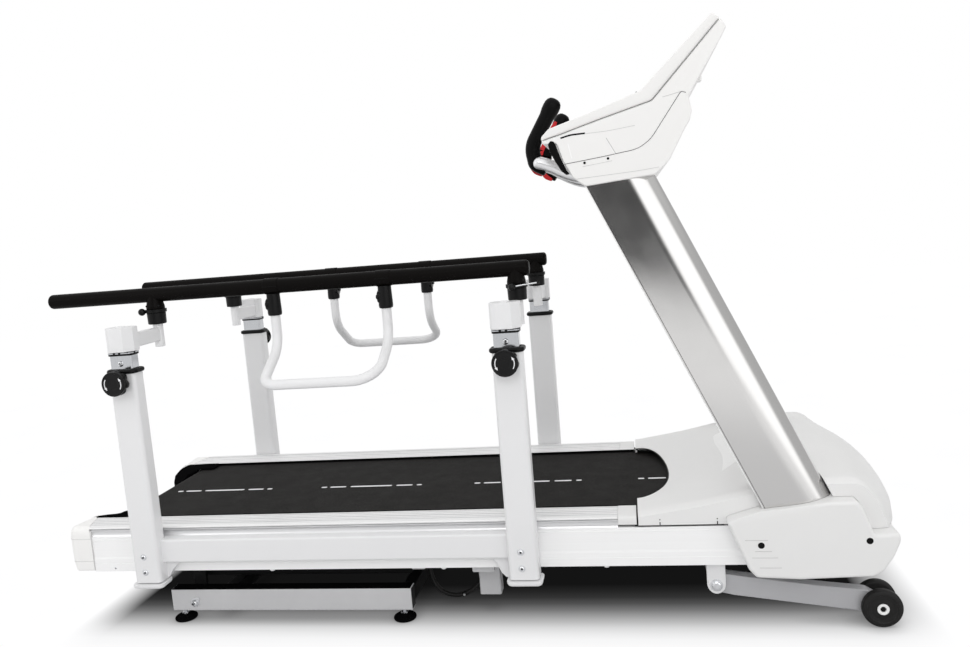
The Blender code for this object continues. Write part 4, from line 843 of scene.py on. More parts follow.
SKIRT_PROFILE = [(0.3640, 0.2810), (0.3784, 0.2810), (0.3790, 0.2803), (0.3790, 0.2745), (0.3780, 0.2737),
                 (0.3780, 0.2727), (0.3790, 0.2719), (0.3790, 0.2680), (0.3784, 0.2660), (0.3784, 0.2190),
                 (0.3790, 0.2170), (0.3800, 0.2140), (0.3805, 0.2125), (0.3805, 0.2010), (0.3797, 0.2003),
                 (0.3797, 0.1993), (0.3805, 0.1986), (0.3805, 0.1763), (0.3797, 0.1755), (0.3615, 0.1755),
                 (0.3615, 0.1815), (0.3640, 0.1840)]


def make_side_rails():
    for side in (-1, 1):
        sn = side_name(side)
        prof = [(side * p[0], p[1]) for p in rail_profile()]
        # the rear end is mitred in plan
        stack = []
        for s, mitre in ((0.0470, True), (1.6145, False)):
            row = []
            for yy, zz in prof:
                ss = s
                if mitre:
                    ss = 0.0300 + (abs(yy) - 0.2885) * 0.40
                row.append((X(ss), yy, zz))
            stack.append(row)
        put(rings("foot_rail_tread_" + sn, stack, "rail_alu", True, 28), ROOT, "silver_extrusion", "foot_rail_" + sn)
        for k, (yb, wb_) in enumerate(((0.2970, 0.0036), (0.3130, 0.0028), (0.3290, 0.0052), (0.3450, 0.0034), (0.3600, 0.0040))):
            zb_ = 0.3065 + (yb - 0.2815) * 0.0539
            put(box("tread_band_%s_%d" % (sn, k + 1), X(0.0300 + (yb - 0.2885) * 0.40) + 0.002, X(1.6140), side * (yb - wb_ / 2),
                    side * (yb + wb_ / 2), zb_ - 0.0020, zb_ + 0.00025, "rail_band", 0.0002, 1), ROOT, "silver_extrusion",
                "foot_rail_" + sn)
        # grey strip in the neck under the nose: painted shade
        put(box("foot_rail_neck_" + sn, X(0.0710), X(1.660), side * 0.3650, side * 0.3766, 0.3005, 0.3046, "keys", 0.0004),
            ROOT, "silver_extrusion", "foot_rail_" + sn)
        cove = [(0.3640, 0.3012), (0.3788, 0.3012), (0.3794, 0.3005), (0.3791, 0.2992), (0.3772, 0.2968), (0.3759, 0.2936),
                (0.3754, 0.2900), (0.3759, 0.2866), (0.3772, 0.2838), (0.3788, 0.2814), (0.3640, 0.2814)]
        put(prism("foot_rail_cove_" + sn, [(side * p[0], p[1]) for p in cove], "x", X(0.0696), X(1.6145), "satin", 0.0,
                  smooth=40), ROOT, "silver_extrusion", "foot_rail_" + sn)
        sk = prism("side_skirt_" + sn, [(side * p[0], p[1]) for p in SKIRT_PROFILE], "x", X(0.0695), X(1.960), "skirt", 0.0,
                   smooth=28)
        put(sk, ROOT, "white_paint", "foot_rail_" + sn)
        # white end piece between the tread and the hood
        y = lambda v: side * v
        top_pts = [(y(0.2815), 0.3005), (y(0.2815), 0.3075), (y(0.3650), 0.3120), (y(0.3720), 0.3119), (y(0.3770), 0.3100),
                   (y(0.3805), 0.3060), (y(0.3812), 0.3000), (y(0.3805), 0.2895), (y(0.3790), 0.2880), (y(0.3690), 0.2880),
                   (y(0.3690), 0.3005)]
        cap = pillow_prism("rail_end_cap_" + sn, round_poly(top_pts, 0.0015, 3), "x", X(1.6150), X(1.6638), 0.0010, "shell")
        put(cap, ROOT, "white_shell")
        notch = box("rail_end_seal_" + sn, X(1.6585), X(1.6668), y(0.3690), y(0.3806), 0.2842, 0.2878, "black", 0.0006)
        put(notch, ROOT, "black_plastic")
        # screw heads under the lip
        for i, s in enumerate((0.6266, 1.1307, 1.5777)):
            put(lathe("lip_screw_%s_%d" % (sn, i + 1), soft_profile([(0, 0.1775), (0.0085, 0.1775), (0.0085, 0.1735),
                                                                      (0.0060, 0.1700), (0, 0.1690)], 0.001),
                      (X(s), side * 0.3715, 0), "z", 24, "white"), ROOT, "white_paint")
        # small skirt screw by the rear end
        cross_screw("skirt_screw_" + sn, (X(0.1362), side * 0.3803, 0.1850), (0, side, 0), 0.0036, 0.0014, ROOT)


CAP_BACK = [(0.170, 0.0160), (0.185, 0.0098), (0.200, 0.0035), (0.222, -0.0012), (0.245, -0.0045), (0.270, -0.0038),
            (0.300, -0.0020), (0.311, 0.0040), (0.330, 0.0140)]
HORN_FALL = [(0.140, 0.2790), (0.170, 0.2805), (0.206, 0.2900), (0.262, 0.3050), (0.282, 0.3082), (0.300, 0.3086)]


def cap_body(name, plan, levels, sgn, mat, slot, body=ROOT, node=None, mitre=False):
    """Moulding that follows plan at every level, with its rear face bulged by CAP_BACK."""
    stack = []
    for z, d in levels:
        out = inset_poly(plan, d) if d > 0 else plan
        lim = ramp(z, CAP_BACK)
        row = []
        for p0, p in zip(plan, out):
            if mitre and p0[0] > 0.0684:
                p = (0.0685, p[1] if p0[1] > 0.35 else p0[1])
            elif mitre and p0[1] <= 0.2886 and p0[0] > 0.0063:
                p = p0
            e = p[0] - lim
            sp = lim + 0.5 * (e + math.sqrt(e * e + 0.0016 ** 2))
            if mitre and z > 0.2985:
                sp = min(sp, 0.0296 + (abs(p[1]) - 0.2885) * 0.40)
            zz = z
            if mitre and z > 0.2988:
                crown = 0.3074 + (min(0.365, max(0.262, abs(p[1]))) - 0.2885) * 0.0627
                zz = 0.2988 + (z - 0.2988) * (crown - 0.2988) / (0.3145 - 0.2988)
            row.append((X(sp), sgn * p[1], zz))
        stack.append(row)
    ob = rings(name, stack, mat, True, 30)
    return put(ob, body, slot, *([node] if node else []))


def make_rear_caps():
    for side in (-1, 1):
        sn = side_name(side)
        y = lambda v: side * v
        plan = [(0.0685, 0.3820), (0.0685, 0.3400), (0.0685, 0.3100), (0.0685, 0.2885), (0.0570, 0.2878), (0.0450, 0.2870),
                (0.0350, 0.2848), (0.0240, 0.2810), (0.0170, 0.2760), (0.0120, 0.2700), (0.0088, 0.2635), (0.0065, 0.2570),
                (0.0035, 0.2440), (0.0010, 0.2525), (-0.0010, 0.2620), (-0.0022, 0.2760), (-0.0030, 0.2900),
                (-0.0038, 0.3050), (-0.0045, 0.3200), (-0.0051, 0.3350), (-0.0055, 0.3500)]
        for k in range(13):
            a = math.radians(90 * k / 12)
            plan.append((0.0145 - 0.0200 * math.cos(a), 0.3620 + 0.0200 * math.sin(a)))
        plan.append((0.0300, 0.3820))
        plan.append((0.0500, 0.3820))
        lv = [(0.178, 0.0028), (0.1795, 0.0010), (0.183, 0.0), (0.192, 0.0), (0.200, 0.0), (0.212, 0.0), (0.222, 0.0),
              (0.234, 0.0), (0.245, 0.0), (0.258, 0.0), (0.270, 0.0), (0.284, 0.0), (0.2905, 0.0005), (0.2955, 0.0015), (0.2984, 0.0024),
              (0.2988, 0.0026), (0.303, 0.0043), (0.3075, 0.0069), (0.3110, 0.0097), (0.3133, 0.0125), (0.3145, 0.0155)]
        cap_body("rear_end_cap_" + sn, plan, lv, side, "cap_white", "white_shell", ROOT, "rear_cap_" + sn, True)
        # lower rear wall that carries the black horn
        wall = [(0.0682, 0.2880), (0.0682, 0.2800), (0.0560, 0.2720), (0.0525, 0.2620), (0.0545, 0.2000), (0.0560, 0.1650),
                (0.0460, 0.1505), (0.0300, 0.1520), (0.0200, 0.1700), (0.0115, 0.1900), (0.0045, 0.2060), (0.0037, 0.2430),
                (0.0068, 0.2566), (0.0123, 0.2695), (0.0244, 0.2805), (0.0450, 0.2865)]
        cap_body("rear_wall_" + sn, wall, [(0.1790, 0.0014), (0.1805, 0.0), (0.200, 0.0), (0.222, 0.0), (0.245, 0.0),
                                           (0.2575, 0.0), (0.2590, 0.0010)], side, "cap_white", "white_shell")
        # black horn that closes the corner between the belt and the cap
        rows = []
        for yy, s_out, s_in in ((0.1508, 0.0370, 0.0455), (0.1540, 0.0290, 0.0495), (0.1590, 0.0260, 0.0530),
                                (0.1650, 0.0228, 0.0558), (0.1760, 0.0172, 0.0556), (0.1900, 0.0116, 0.0552),
                                (0.1990, 0.0072, 0.0548), (0.2060, 0.0046, 0.0545), (0.2160, 0.0044, 0.0542),
                                (0.2270, 0.0040, 0.0538), (0.2440, 0.0040, 0.0530), (0.2566, 0.0071, 0.0527),
                                (0.2640, 0.0096, 0.0535), (0.2694, 0.0126, 0.0550), (0.2755, 0.0175, 0.0590),
                                (0.2806, 0.0246, 0.0560)):
            zt = ramp(yy, HORN_FALL)
            e = min(0.0024, (s_in - s_out) * 0.3)
            rows.append([(X(a), y(yy), z) for a, z in ((s_out, 0.2592), (s_out, zt - e), (s_out + e * 0.3, zt - e * 0.3),
                                                       (s_out + e, zt), (s_in - e, zt), (s_in - e * 0.3, zt - e * 0.3),
                                                       (s_in, zt - e), (s_in, 0.2592))])
        put(rings("belt_corner_insert_" + sn, rows, "matt_black", True, 40), ROOT, "black_plastic")
        # painted shadow: a dark strip in the gap between the belt and the foot rail
        put(box("belt_gap_shadow_strip_" + sn, X(0.0700), X(1.6640), y(0.2788), y(0.2830), 0.2990, 0.3078, "matt_black", 0.0008), ROOT,
            "black_plastic")
        # thin flat black pad over the belt's corner, running out of the horn: partly a guard, partly painted shade
        # where the belt wraps the roller
        inner = [(0.0500, 0.2120), (0.0580, 0.2150), (0.0840, 0.2240), (0.1480, 0.2283)]
        rows = []
        for k in range(25):
            s = 0.0500 + 0.0980 * k / 24.0
            t = min(1.0, max(0.0, (s - 0.0500) / 0.045))
            t = t * t * (3 - 2 * t)
            lip = 0.0022 * max(0.0, (k - 22) / 2.0)
            y0, y1 = ramp(s, inner), 0.2808
            up_, dn = [], []
            for j in range(13):
                w = (j / 12.0) ** 1.6
                yy = y0 + (y1 - y0) * w
                zt = ramp(yy, HORN_FALL) * (1 - t) + 0.3092 * t - 0.0026 * (1 - min(1.0, (yy - y0) / 0.005)) ** 2 - lip
                up_.append((X(s), y(yy), zt))
                dn.append((X(s), y(yy), max(zt - 0.0070, 0.3035 if t > 0.85 else 0.0)))
            rows.append(up_ + list(reversed(dn)))
        put(rings("rail_corner_pad_and_shade_" + sn, rows, "matt_black", True, 40), ROOT, "black_plastic")
        # faint parting lines of the cap
        for z, nm in ((0.2760, "upper"), (0.2075, "lower")):
            line = []
            lim = ramp(z, CAP_BACK)
            for p in plan[15:]:
                line.append((X(max(p[0], lim) - 0.0001), y(p[1] + 0.00015), z))
            line.append((X(0.0680), y(0.38215), z))
            put(tube("cap_line_%s_%s" % (nm, sn), line, 0.00055, 8, "softline"), ROOT, "white_shell")
        put(tube("cap_joint_" + sn, [(X(0.0690), y(0.3821), zz) for zz in (0.1790, 0.22, 0.27, 0.2982)] +
                 [(X(0.0672), y(0.3822), 0.2990), (X(0.0672), y(0.3822), 0.3060)], 0.0006, 8, "softline"), ROOT, "white_shell")


# ------------------------------------------------------------------ posts
def make_stands():
    for side in (-1, 1):
        sn = side_name(side)
        y = lambda v: side * v
        node = "rail_stand_" + sn
        for e, s in zip(END, POST_S):
            cx = X(s)
            outer = round_rect(cx, y(POST_Y), 0.080, 0.050, 0.011, 8)
            inner = round_rect(cx, y(POST_Y), 0.0680, 0.0380, 0.0052, 8)
            put(hollow_tube("post_%s_%s" % (e, sn), outer, inner, 0.165, 0.782, 0.330, "white"), ROOT, "white_paint", node)
            # moulded collar round the top of the post
            prof = []
            for k in range(17):
                a = 2 * math.pi * k / 16
                prof.append((0.0046 * math.cos(a), 0.0062 * math.sin(a)))
            stack = []
            for dx, dz in prof:
                stack.append([(p[0], p[1], 0.7795 + dz) for p in inset_poly(round_rect(cx, y(POST_Y), 0.0838, 0.0538, 0.0135, 8),
                                                                         -dx)])
            put(rings("post_collar_%s_%s" % (e, sn), stack, "black", False, 60), ROOT, "black_plastic", node)
            put(hollow_tube("post_mouth_%s_%s" % (e, sn), round_rect(cx, y(POST_Y), 0.0800, 0.0500, 0.011, 8),
                            round_rect(cx, y(POST_Y), 0.0682, 0.0382, 0.0052, 8), 0.776, 0.7845, 0.776, "black", 0.0008),
                ROOT, "black_plastic", node)
            # cast shoe with a skirt that sweeps up to the side panel
            put(pillow_prism("post_shoe_%s_%s" % (e, sn), round_rect(cx + 0.001, y(0.4185), 0.096, 0.066, 0.016, 10), "z",
                             0.1620, 0.1490, 0.0100, "white", 7, False), ROOT, "white_paint", node)
            put(prism("post_back_plate_%s_%s" % (e, sn), round_poly([(cx - 0.039, 0.160), (cx + 0.039, 0.160), (cx + 0.039, 0.262),
                                                                     (cx - 0.039, 0.262)], 0.006), "y", y(0.3820), y(0.3958),
                      "white", 0.0025), ROOT, "white_paint", node)
            if e == "rear":
                gus = [(0.306, 0.1565), (0.3210, 0.1680), (0.3300, 0.1825), (0.3396, 0.1950), (0.3500, 0.2040), (0.3636, 0.2090),
                       (0.3636, 0.2125), (0.306, 0.2165)]
            else:
                gus = [(1.3330, 0.1565), (1.3330, 0.2165), (1.2780, 0.2125), (1.2780, 0.2090), (1.2850, 0.1960), (1.2905, 0.1840),
                       (1.2975, 0.1690), (1.3090, 0.1565)]
            put(prism("post_gusset_%s_%s" % (e, sn), [(X(p[0]), p[1]) for p in gus], "y", y(0.3825), y(0.4020), "white",
                      0.0022), ROOT, "white_paint", node)
            for k, z in enumerate((0.2414, 0.1962)):
                button_bolt("post_bolt_%s_%s_%d" % (e, sn, k + 1), (cx - 0.004, y(0.4405), z), (0, side, 0), 0.0078, 0.0046,
                            ROOT, 1.22)
        # the beam between the posts
        beam = pillow_prism("stand_beam_" + sn, round_rect(y(0.4005), 0.2490, 0.0350, 0.0680, 0.006, 5), "x", X(POST_S[0]) + 0.03,
                            X(POST_S[1]) - 0.03, 0.001, "white")
        put(beam, ROOT, "white_paint", node)


def lobed(name, base, axis, up, layers, lobes, depth, n, mat, phase=0.0):
    """Turned head with finger lobes: layers are (radius, height, lobe share)."""
    ax = Vector(axis).normalized()
    u = Vector(up).normalized()
    v = ax.cross(u).normalized()
    base = Vector(base)
    bm = bmesh.new()
    rows = []
    for r, h, share in layers:
        row = []
        for k in range(n):
            a = 2 * math.pi * k / n
            w = 0.5 - 0.5 * math.cos(lobes * a + phase)
            rr = r * (1.0 - depth * share * w * w)
            row.append(bm.verts.new(base + ax * h + (u * math.cos(a) + v * math.sin(a)) * rr))
        rows.append(row)
    for a, b in zip(rows, rows[1:]):
        for k in range(n):
            bm.faces.new((a[k], b[k], b[(k + 1) % n], a[(k + 1) % n]))
    bm.faces.new(rows[0])
    bm.faces.new(rows[-1])
    return mesh_obj(name, bm, mat, 45)


def make_rail_side(side):
    y = lambda v: side * v
    sn = side_name(side)
    for e, s in zip(END, POST_S):
        cx = X(s)
        body = "lift_tube_%s_%s_body" % (e, sn)
        node = "lift_tube_%s_%s" % (e, sn)
        put(pillow_prism("height_tube_%s_%s" % (e, sn), round_rect(cx, y(POST_Y), 0.0666, 0.0366, 0.0048, 6), "z", 0.4205,
                         0.8240, 0.0012, "tube_alu"), body, "silver_extrusion", node)
        # notched index plate on the tube's head
        plate = prism("index_plate_%s_%s" % (e, sn), round_rect(cx, y(POST_Y), 0.0740, 0.0530, 0.012, 8), "z", 0.8290, 0.8322,
                      "tube_alu", 0.0006)
        put(plate, body, "silver_extrusion", node)
        under = prism("index_ring_%s_%s" % (e, sn), round_rect(cx, y(POST_Y), 0.0715, 0.0490, 0.010, 8), "z", 0.8238, 0.8290,
                      "black", 0.0006)
        put(under, body, "black_plastic", node)
        for k, (dx, dy) in enumerate(((-0.012, 0.0258), (0.004, 0.0258), (0.020, 0.0235), (0.0345, 0.006))):
            put(box("index_notch_%s_%s_%d" % (e, sn, k + 1), cx + dx - 0.0035, cx + dx + 0.0035, y(POST_Y + dy - 0.004),
                    y(POST_Y + dy + 0.0009), 0.8262, 0.8338, "black", 0.0005), body, "black_plastic")
        put(lathe("swing_spigot_%s_%s" % (e, sn), soft_profile([(0, 0.8300), (0.0160, 0.8300), (0.0160, 0.8930), (0, 0.8932)],
                                                             0.001), (cx, y(POST_Y), 0), "z", 36, "bright"), body,
            "bright_tube", node)
        cross_screw("stop_screw_%s_%s" % (e, sn), (cx - 0.001, y(POST_Y + 0.0184), 0.8010), (0, side, 0), 0.0080, 0.0036, body)
        # swing arm: faceted sleeve, bar and pin tube
        ab = "swing_arm_%s_%s_body" % (e, sn)
        an = "swing_arm_%s_%s" % (e, sn)
        px = cx + ARM_DX
        out = [(cx - 0.020, 0.029), (cx - 0.034, 0.022), (cx - 0.0395, 0.008), (cx - 0.0395, -0.018), (cx - 0.030, -0.029),
               (cx + 0.030, -0.029), (cx + 0.0395, -0.020), (cx + 0.0395, 0.006), (cx + 0.020, 0.029)]
        rr = [0.012, 0.010, 0.012, 0.008, 0.008, 0.006, 0.006, 0.002, 0.002]
        pts = round_poly([(p[0], y(POST_Y + p[1])) for p in out], rr, 5)
        put(pillow_prism("arm_sleeve_%s_%s" % (e, sn), pts, "z", 0.8338, 0.9020, 0.0016, "white", 3), ab, "white_paint", an)
        bar = [(cx - 0.004, y(POST_Y - 0.020)), (cx + 0.028, y(POST_Y - 0.020)), (px + 0.0095, y(RAIL_Y)),
               (px - 0.0095, y(RAIL_Y))]
        put(prism("arm_bar_%s_%s" % (e, sn), bar, "z", 0.8405, 0.8805, "white", 0.0030, 4), ab, "white_paint", an)
        put(lathe("arm_pin_%s_%s" % (e, sn), soft_profile([(0, 0.8225), (0.0145, 0.8225), (0.0145, 0.8900), (0.0134, 0.8902),
                                                          (0.0134, 0.9440), (0.0120, 0.9458), (0, 0.9460)], 0.0012),
                  (px, y(RAIL_Y), 0), "z", 40, "white"), ab, "white_paint", an)
        put(lathe("arm_top_plug_%s_%s" % (e, sn), soft_profile([(0, 0.9010), (0.0130, 0.9010), (0.0130, 0.9030), (0.0110, 0.9042),
                                                               (0, 0.9046)], 0.0008), (cx, y(POST_Y), 0), "z", 32, "white"),
            ab, "white_paint")
        # star knob with a faced disc
        kb = "star_knob_%s_%s_body" % (e, sn)
        base = (cx, y(0.4350), STAR_Z)
        layers = [(0.0060, 0.0000, 0), (0.0060, 0.0114, 0), (0.0190, 0.0122, 0.2), (0.0285, 0.0152, 0.9),
                  (0.0327, 0.0200, 1.0), (0.0347, 0.0265, 1.0), (0.0351, 0.0330, 1.0), (0.0340, 0.0388, 1.0),
                  (0.0321, 0.0412, 0.6), (0.0315, 0.0422, 0.0)]
        put(lobed("star_head_%s_%s" % (e, sn), base, (0, side, 0), (0, 0, 1), layers, 7, 0.17, 126, "black"), kb,
            "black_plastic", "star_knob_%s_%s" % (e, sn))
        disc = soft_profile([(0, 0.0415), (0.0334, 0.0415), (0.0345, 0.0427), (0.0345, 0.0470), (0.0328, 0.0490),
                             (0.0305, 0.0494), (0.0292, 0.0482), (0.0155, 0.0478), (0.0146, 0.0470), (0, 0.0468)], 0.0009)
        put(lathe("star_disc_%s_%s" % (e, sn), disc, base, (0, side, 0), 56, "gloss_black"), kb, "black_plastic",
            "star_knob_%s_%s" % (e, sn))
        # two plain turning arrows on the disc
        for q, a0 in enumerate((-34, 146)):
            inner, outer = [], []
            for k in range(11):
                a = math.radians(a0 + 56.0 * k / 10)
                inner.append((cx + 0.0236 * math.cos(a), STAR_Z + 0.0236 * math.sin(a)))
                outer.append((cx + 0.0260 * math.cos(a), STAR_Z + 0.0260 * math.sin(a)))
            at = math.radians(a0 + 56.0)
            tip = math.radians(a0 + 76.0)
            head = [(cx + 0.0284 * math.cos(at), STAR_Z + 0.0284 * math.sin(at)),
                    (cx + 0.0247 * math.cos(tip), STAR_Z + 0.0247 * math.sin(tip)),
                    (cx + 0.0210 * math.cos(at), STAR_Z + 0.0210 * math.sin(at))]
            put(prism("turn_arrow_%s_%s_%d" % (e, sn, q + 1), outer + head + list(reversed(inner)), "y", y(0.4350 + 0.0472),
                      y(0.4350 + 0.0489), "dash", 0.0), kb, "black_plastic")
    pins = [X(s) + ARM_DX for s in POST_S]
    hb = "handrail_%s_body" % sn
    hn = "handrail_" + sn
    prof = [(0, X(HAND_S0))]
    for k in range(9):
        a = math.radians(90 * k / 8)
        prof.append((HAND_R - 0.010 + 0.010 * math.sin(a), X(HAND_S0) + 0.010 - 0.010 * math.cos(a)))
    prof += [(HAND_R, X(0.3)), (HAND_R, X(0.6)), (HAND_R, X(1.0))]
    for k in range(9):
        a = math.radians(90 * (8 - k) / 8)
        prof.append((HAND_R - 0.010 + 0.010 * math.sin(a), X(HAND_S1) - 0.010 + 0.010 * math.cos(a)))
    prof.append((0, X(HAND_S1)))
    put(lathe("rail_sleeve_" + sn, prof, (0, y(RAIL_Y), HAND_Z), "x", 56, "sleeve", 50), hb, "black_sleeve", hn)
    for e, px in zip(END, pins):
        # saddle and socket that stand the rail on the pin
        up = soft_profile([(0, HAND_Z + 0.002), (0.0205, HAND_Z - 0.002), (0.0222, 0.9640), (0.0242, 0.9520), (0.0262, 0.9430),
                           (0.0264, 0.9372), (0.0258, 0.9352), (0.0238, 0.9350), (0.0238, 0.9342), (0, 0.9340)], 0.0010, 3)
        put(lathe("rail_socket_upper_%s_%s" % (e, sn), up, (px, y(RAIL_Y), 0), "z", 48, "sleeve"), hb, "black_plastic", hn)
        lowp = soft_profile([(0.0143, 0.8905), (0.0240, 0.8905), (0.0262, 0.8925), (0.0270, 0.9230), (0.0262, 0.9242),
                             (0.0238, 0.9244), (0.0238, 0.9352), (0.0143, 0.9352), (0.0143, 0.8905)], 0.0010, 3)
        put(lathe("rail_socket_lower_%s_%s" % (e, sn), lowp, (px, y(RAIL_Y), 0), "z", 48, "black"), hb, "black_plastic", hn)
        for k in range(2):
            a = math.radians(40 + 100 * k) * side
            put(lathe("socket_rivet_%s_%s_%d" % (e, sn, k + 1), soft_profile([(0, 0.0245), (0.0030, 0.0245), (0.0030, 0.0268),
                                                                          (0.0018, 0.0277), (0, 0.0278)], 0.0004),
                      (px, y(RAIL_Y), 0.9450), (math.cos(a), math.sin(a), 0), 16, "black"), hb, "black_plastic")
        # locking lever ring and ball
        lb = "rail_lever_%s_%s_body" % (e, sn)
        ln = "rail_lever_%s_%s" % (e, sn)
        ring = soft_profile([(0.0249, 0.9248), (0.0298, 0.9248), (0.0303, 0.9262), (0.0303, 0.9332), (0.0298, 0.9344),
                             (0.0249, 0.9344)], 0.0006, 3)
        put(lathe("lever_ring_%s_%s" % (e, sn), ring + [ring[0]], (px, y(RAIL_Y), 0), "z", 48, "black"), lb, "black_plastic", ln)
        gl = [(0.0300, 0.9330), (0.0308, 0.9334), (0.0308, 0.9344), (0.0300, 0.9348), (0.0300, 0.9330)]
        put(lathe("lever_band_%s_%s" % (e, sn), gl, (px, y(RAIL_Y), 0), "z", 48, "black"), lb, "black_plastic")
        d = Vector((-0.80, 0.60 * side, 0)).normalized() if e == "rear" else Vector((-0.20, 0.98 * side, 0)).normalized()
        c = Vector((px, y(RAIL_Y), 0.9295))
        put(tube("lever_stem_%s_%s" % (e, sn), [c + d * 0.0285, c + d * 0.034, c + d * 0.0395], 0.0036, 16, "black"), lb,
            "black_plastic", ln)
        ball = [(0, -0.0107)] + [(0.0107 * math.sin(math.radians(180 * k / 14)), -0.0107 * math.cos(math.radians(180 * k / 14)))
                                for k in range(1, 14)] + [(0, 0.0107)]
        put(lathe("lever_ball_%s_%s" % (e, sn), ball, c + d * 0.0395, "z", 28, "gloss_black"), lb, "black_plastic", ln)
        if e == "front" and side < 0:
            a = c + d * 0.0395
            put(tube("lever_rod_" + sn, [a, a + Vector((0.030, -side * 0.004, 0.0035)), a + Vector((0.070, -side * 0.010, 0.0065))],
                     0.0021, 12, "zinc"), lb, "bare_steel")
            q = a + Vector((0.070, -side * 0.010, 0.0065))
            tip = [(0, -0.0042)] + [(0.0042 * math.sin(math.radians(180 * k / 8)), -0.0042 * math.cos(math.radians(180 * k / 8)))
                                   for k in range(1, 8)] + [(0, 0.0042)]
            put(lathe("lever_tip_" + sn, tip, q, "z", 16, "gloss_black"), lb, "black_plastic")
    # swing handle
    ub = "u_handle_%s_body" % sn
    un = "u_handle_" + sn
    path = fillet_path([(X(HANDLE_S[0]), y(RAIL_Y), 0.906), (X(HANDLE_S[0]), y(RAIL_Y), 0.800),
                        (X(HANDLE_S[0]) + 0.002, y(RAIL_Y + 0.1420), 0.7120),
                        (X(HANDLE_S[1]) - 0.002, y(RAIL_Y + 0.1420), 0.7120),
                        (X(HANDLE_S[1]), y(RAIL_Y), 0.800), (X(HANDLE_S[1]), y(RAIL_Y), 0.906)],
                       [0.085, 0.040, 0.075, 0.085], 0.07)
    put(tube("handle_loop_" + sn, path, 0.0140, 32, "white"), ub, "white_paint", un)
    for e, s in zip(END, HANDLE_S):
        cx = X(s)
        stem = soft_profile([(0, 0.9560), (0.0190, 0.9560), (0.0205, 0.9000), (0.0192, 0.8930), (0.0145, 0.8920), (0, 0.8925)],
                            0.0020, 4)
        put(lathe("handle_stem_%s_%s" % (e, sn), stem, (cx, y(RAIL_Y), 0), "z", 44, "black"), ub, "black_plastic", un)
        bandp = [(0.0218, -0.0212), (0.0226, -0.0214), (0.0231, -0.0208), (0.0233, -0.0195), (0.0233, 0.0195),
                 (0.0231, 0.0208), (0.0226, 0.0214), (0.0218, 0.0212), (0.0218, -0.0212)]
        put(lathe("handle_clamp_%s_%s" % (e, sn), bandp, (cx, y(RAIL_Y), HAND_Z), "x", 52, "sleeve"), ub, "black_plastic", un)
        # near-black split line of the clamp: painted shade of the gap
        put(box("clamp_split_%s_%s" % (e, sn), cx - 0.0215, cx + 0.0215, y(RAIL_Y + 0.0214), y(RAIL_Y + 0.0237), 0.9768,
                0.9782, "dark", 0.0003), ub, "black_plastic")
        base = (cx + side * 0.0210, y(RAIL_Y), 0.9250)
        layers = [(0.0060, 0.0052, 0), (0.0060, 0.0006, 0), (0.0150, 0.0000, 0.2), (0.0180, -0.0010, 0.5),
                  (0.0190, -0.0030, 0.8), (0.0192, -0.0055, 0.9), (0.0187, -0.0085, 0.9), (0.0173, -0.0115, 0.8),
                  (0.0150, -0.0142, 0.6), (0.0118, -0.0163, 0.4), (0.0080, -0.0176, 0.2), (0.0040, -0.0182, 0.0)]
        put(lobed("handle_knob_%s_%s" % (e, sn), base, (-side, 0, 0), (0, 0, 1),
                  [(r, -h, sh) for r, h, sh in layers], 6, 0.10, 96, "gloss_black"), "u_knob_%s_%s_body" % (e, sn), "black_plastic",
            "u_knob_%s_%s" % (e, sn))


# ------------------------------------------------------------------ uprights, covers and hood
UP_DIR = Vector((-0.4205, 0.0, 0.9073))
UP_NRM = Vector((0.9073, 0.0, 0.4205))
UP_BASE = Vector((X(1.9895), 0.0, 0.3150))
UP_WIDTH = 0.1640


def upright_profile(grow=0.0, n=14):
    g = grow
    y0, y1, w = 0.322 - g, 0.400 + g, UP_WIDTH
    r = 0.0022
    pts = [(-g, y0)]
    if grow == 0.0:
        pts += [(-g, y1 - r), (-g + r * 0.3, y1 - r * 0.3), (-g + r, y1)]
    else:
        pts += [(-g, y1)]
    pts += [(w - 0.074, y1)]
    for k in range(1, n + 1):
        a = math.radians(90 * k / n)
        pts.append((w - 0.074 + (0.074 + g) * math.sin(a), y1 - (0.052 + g) + (0.052 + g) * math.cos(a)))
    pts.append((w + g, y0))
    return pts


def upright_solid(name, side, z0, z1, grow=0.0, mat=None, smooth=24):
    lo, hi = [], []
    for w, yy in upright_profile(grow):
        p = UP_BASE + UP_NRM * w
        for z, arr in ((z0, lo), (z1, hi)):
            q = p + UP_DIR * ((z - p.z) / UP_DIR.z)
            arr.append((q.x, side * yy, z))
    return rings(name, [lo, hi], mat, True, smooth)


COVER_OUT = [(1.889, 0.3050), (1.930, 0.3190), (1.972, 0.3310), (2.060, 0.3400), (2.140, 0.3520), (2.203, 0.3520),
             (2.216, 0.3350), (2.2415, 0.2655), (2.300, 0.2700), (2.302, 0.2480), (2.285, 0.2080), (2.262, 0.1740),
             (2.238, 0.1580), (2.062, 0.1515), (1.956, 0.1570), (1.938, 0.1780), (1.914, 0.2400)]
COVER_R = [0.010, 0.05, 0.05, 0.05, 0.03, 0.012, 0.03, 0.018, 0.010, 0.04, 0.05, 0.03, 0.03, 0.05, 0.016, 0.03, 0.05]


def cover_poly(rounded=True):
    pts = [(X(p[0]), p[1]) for p in COVER_OUT]
    return round_poly(pts, COVER_R, 5) if rounded else pts


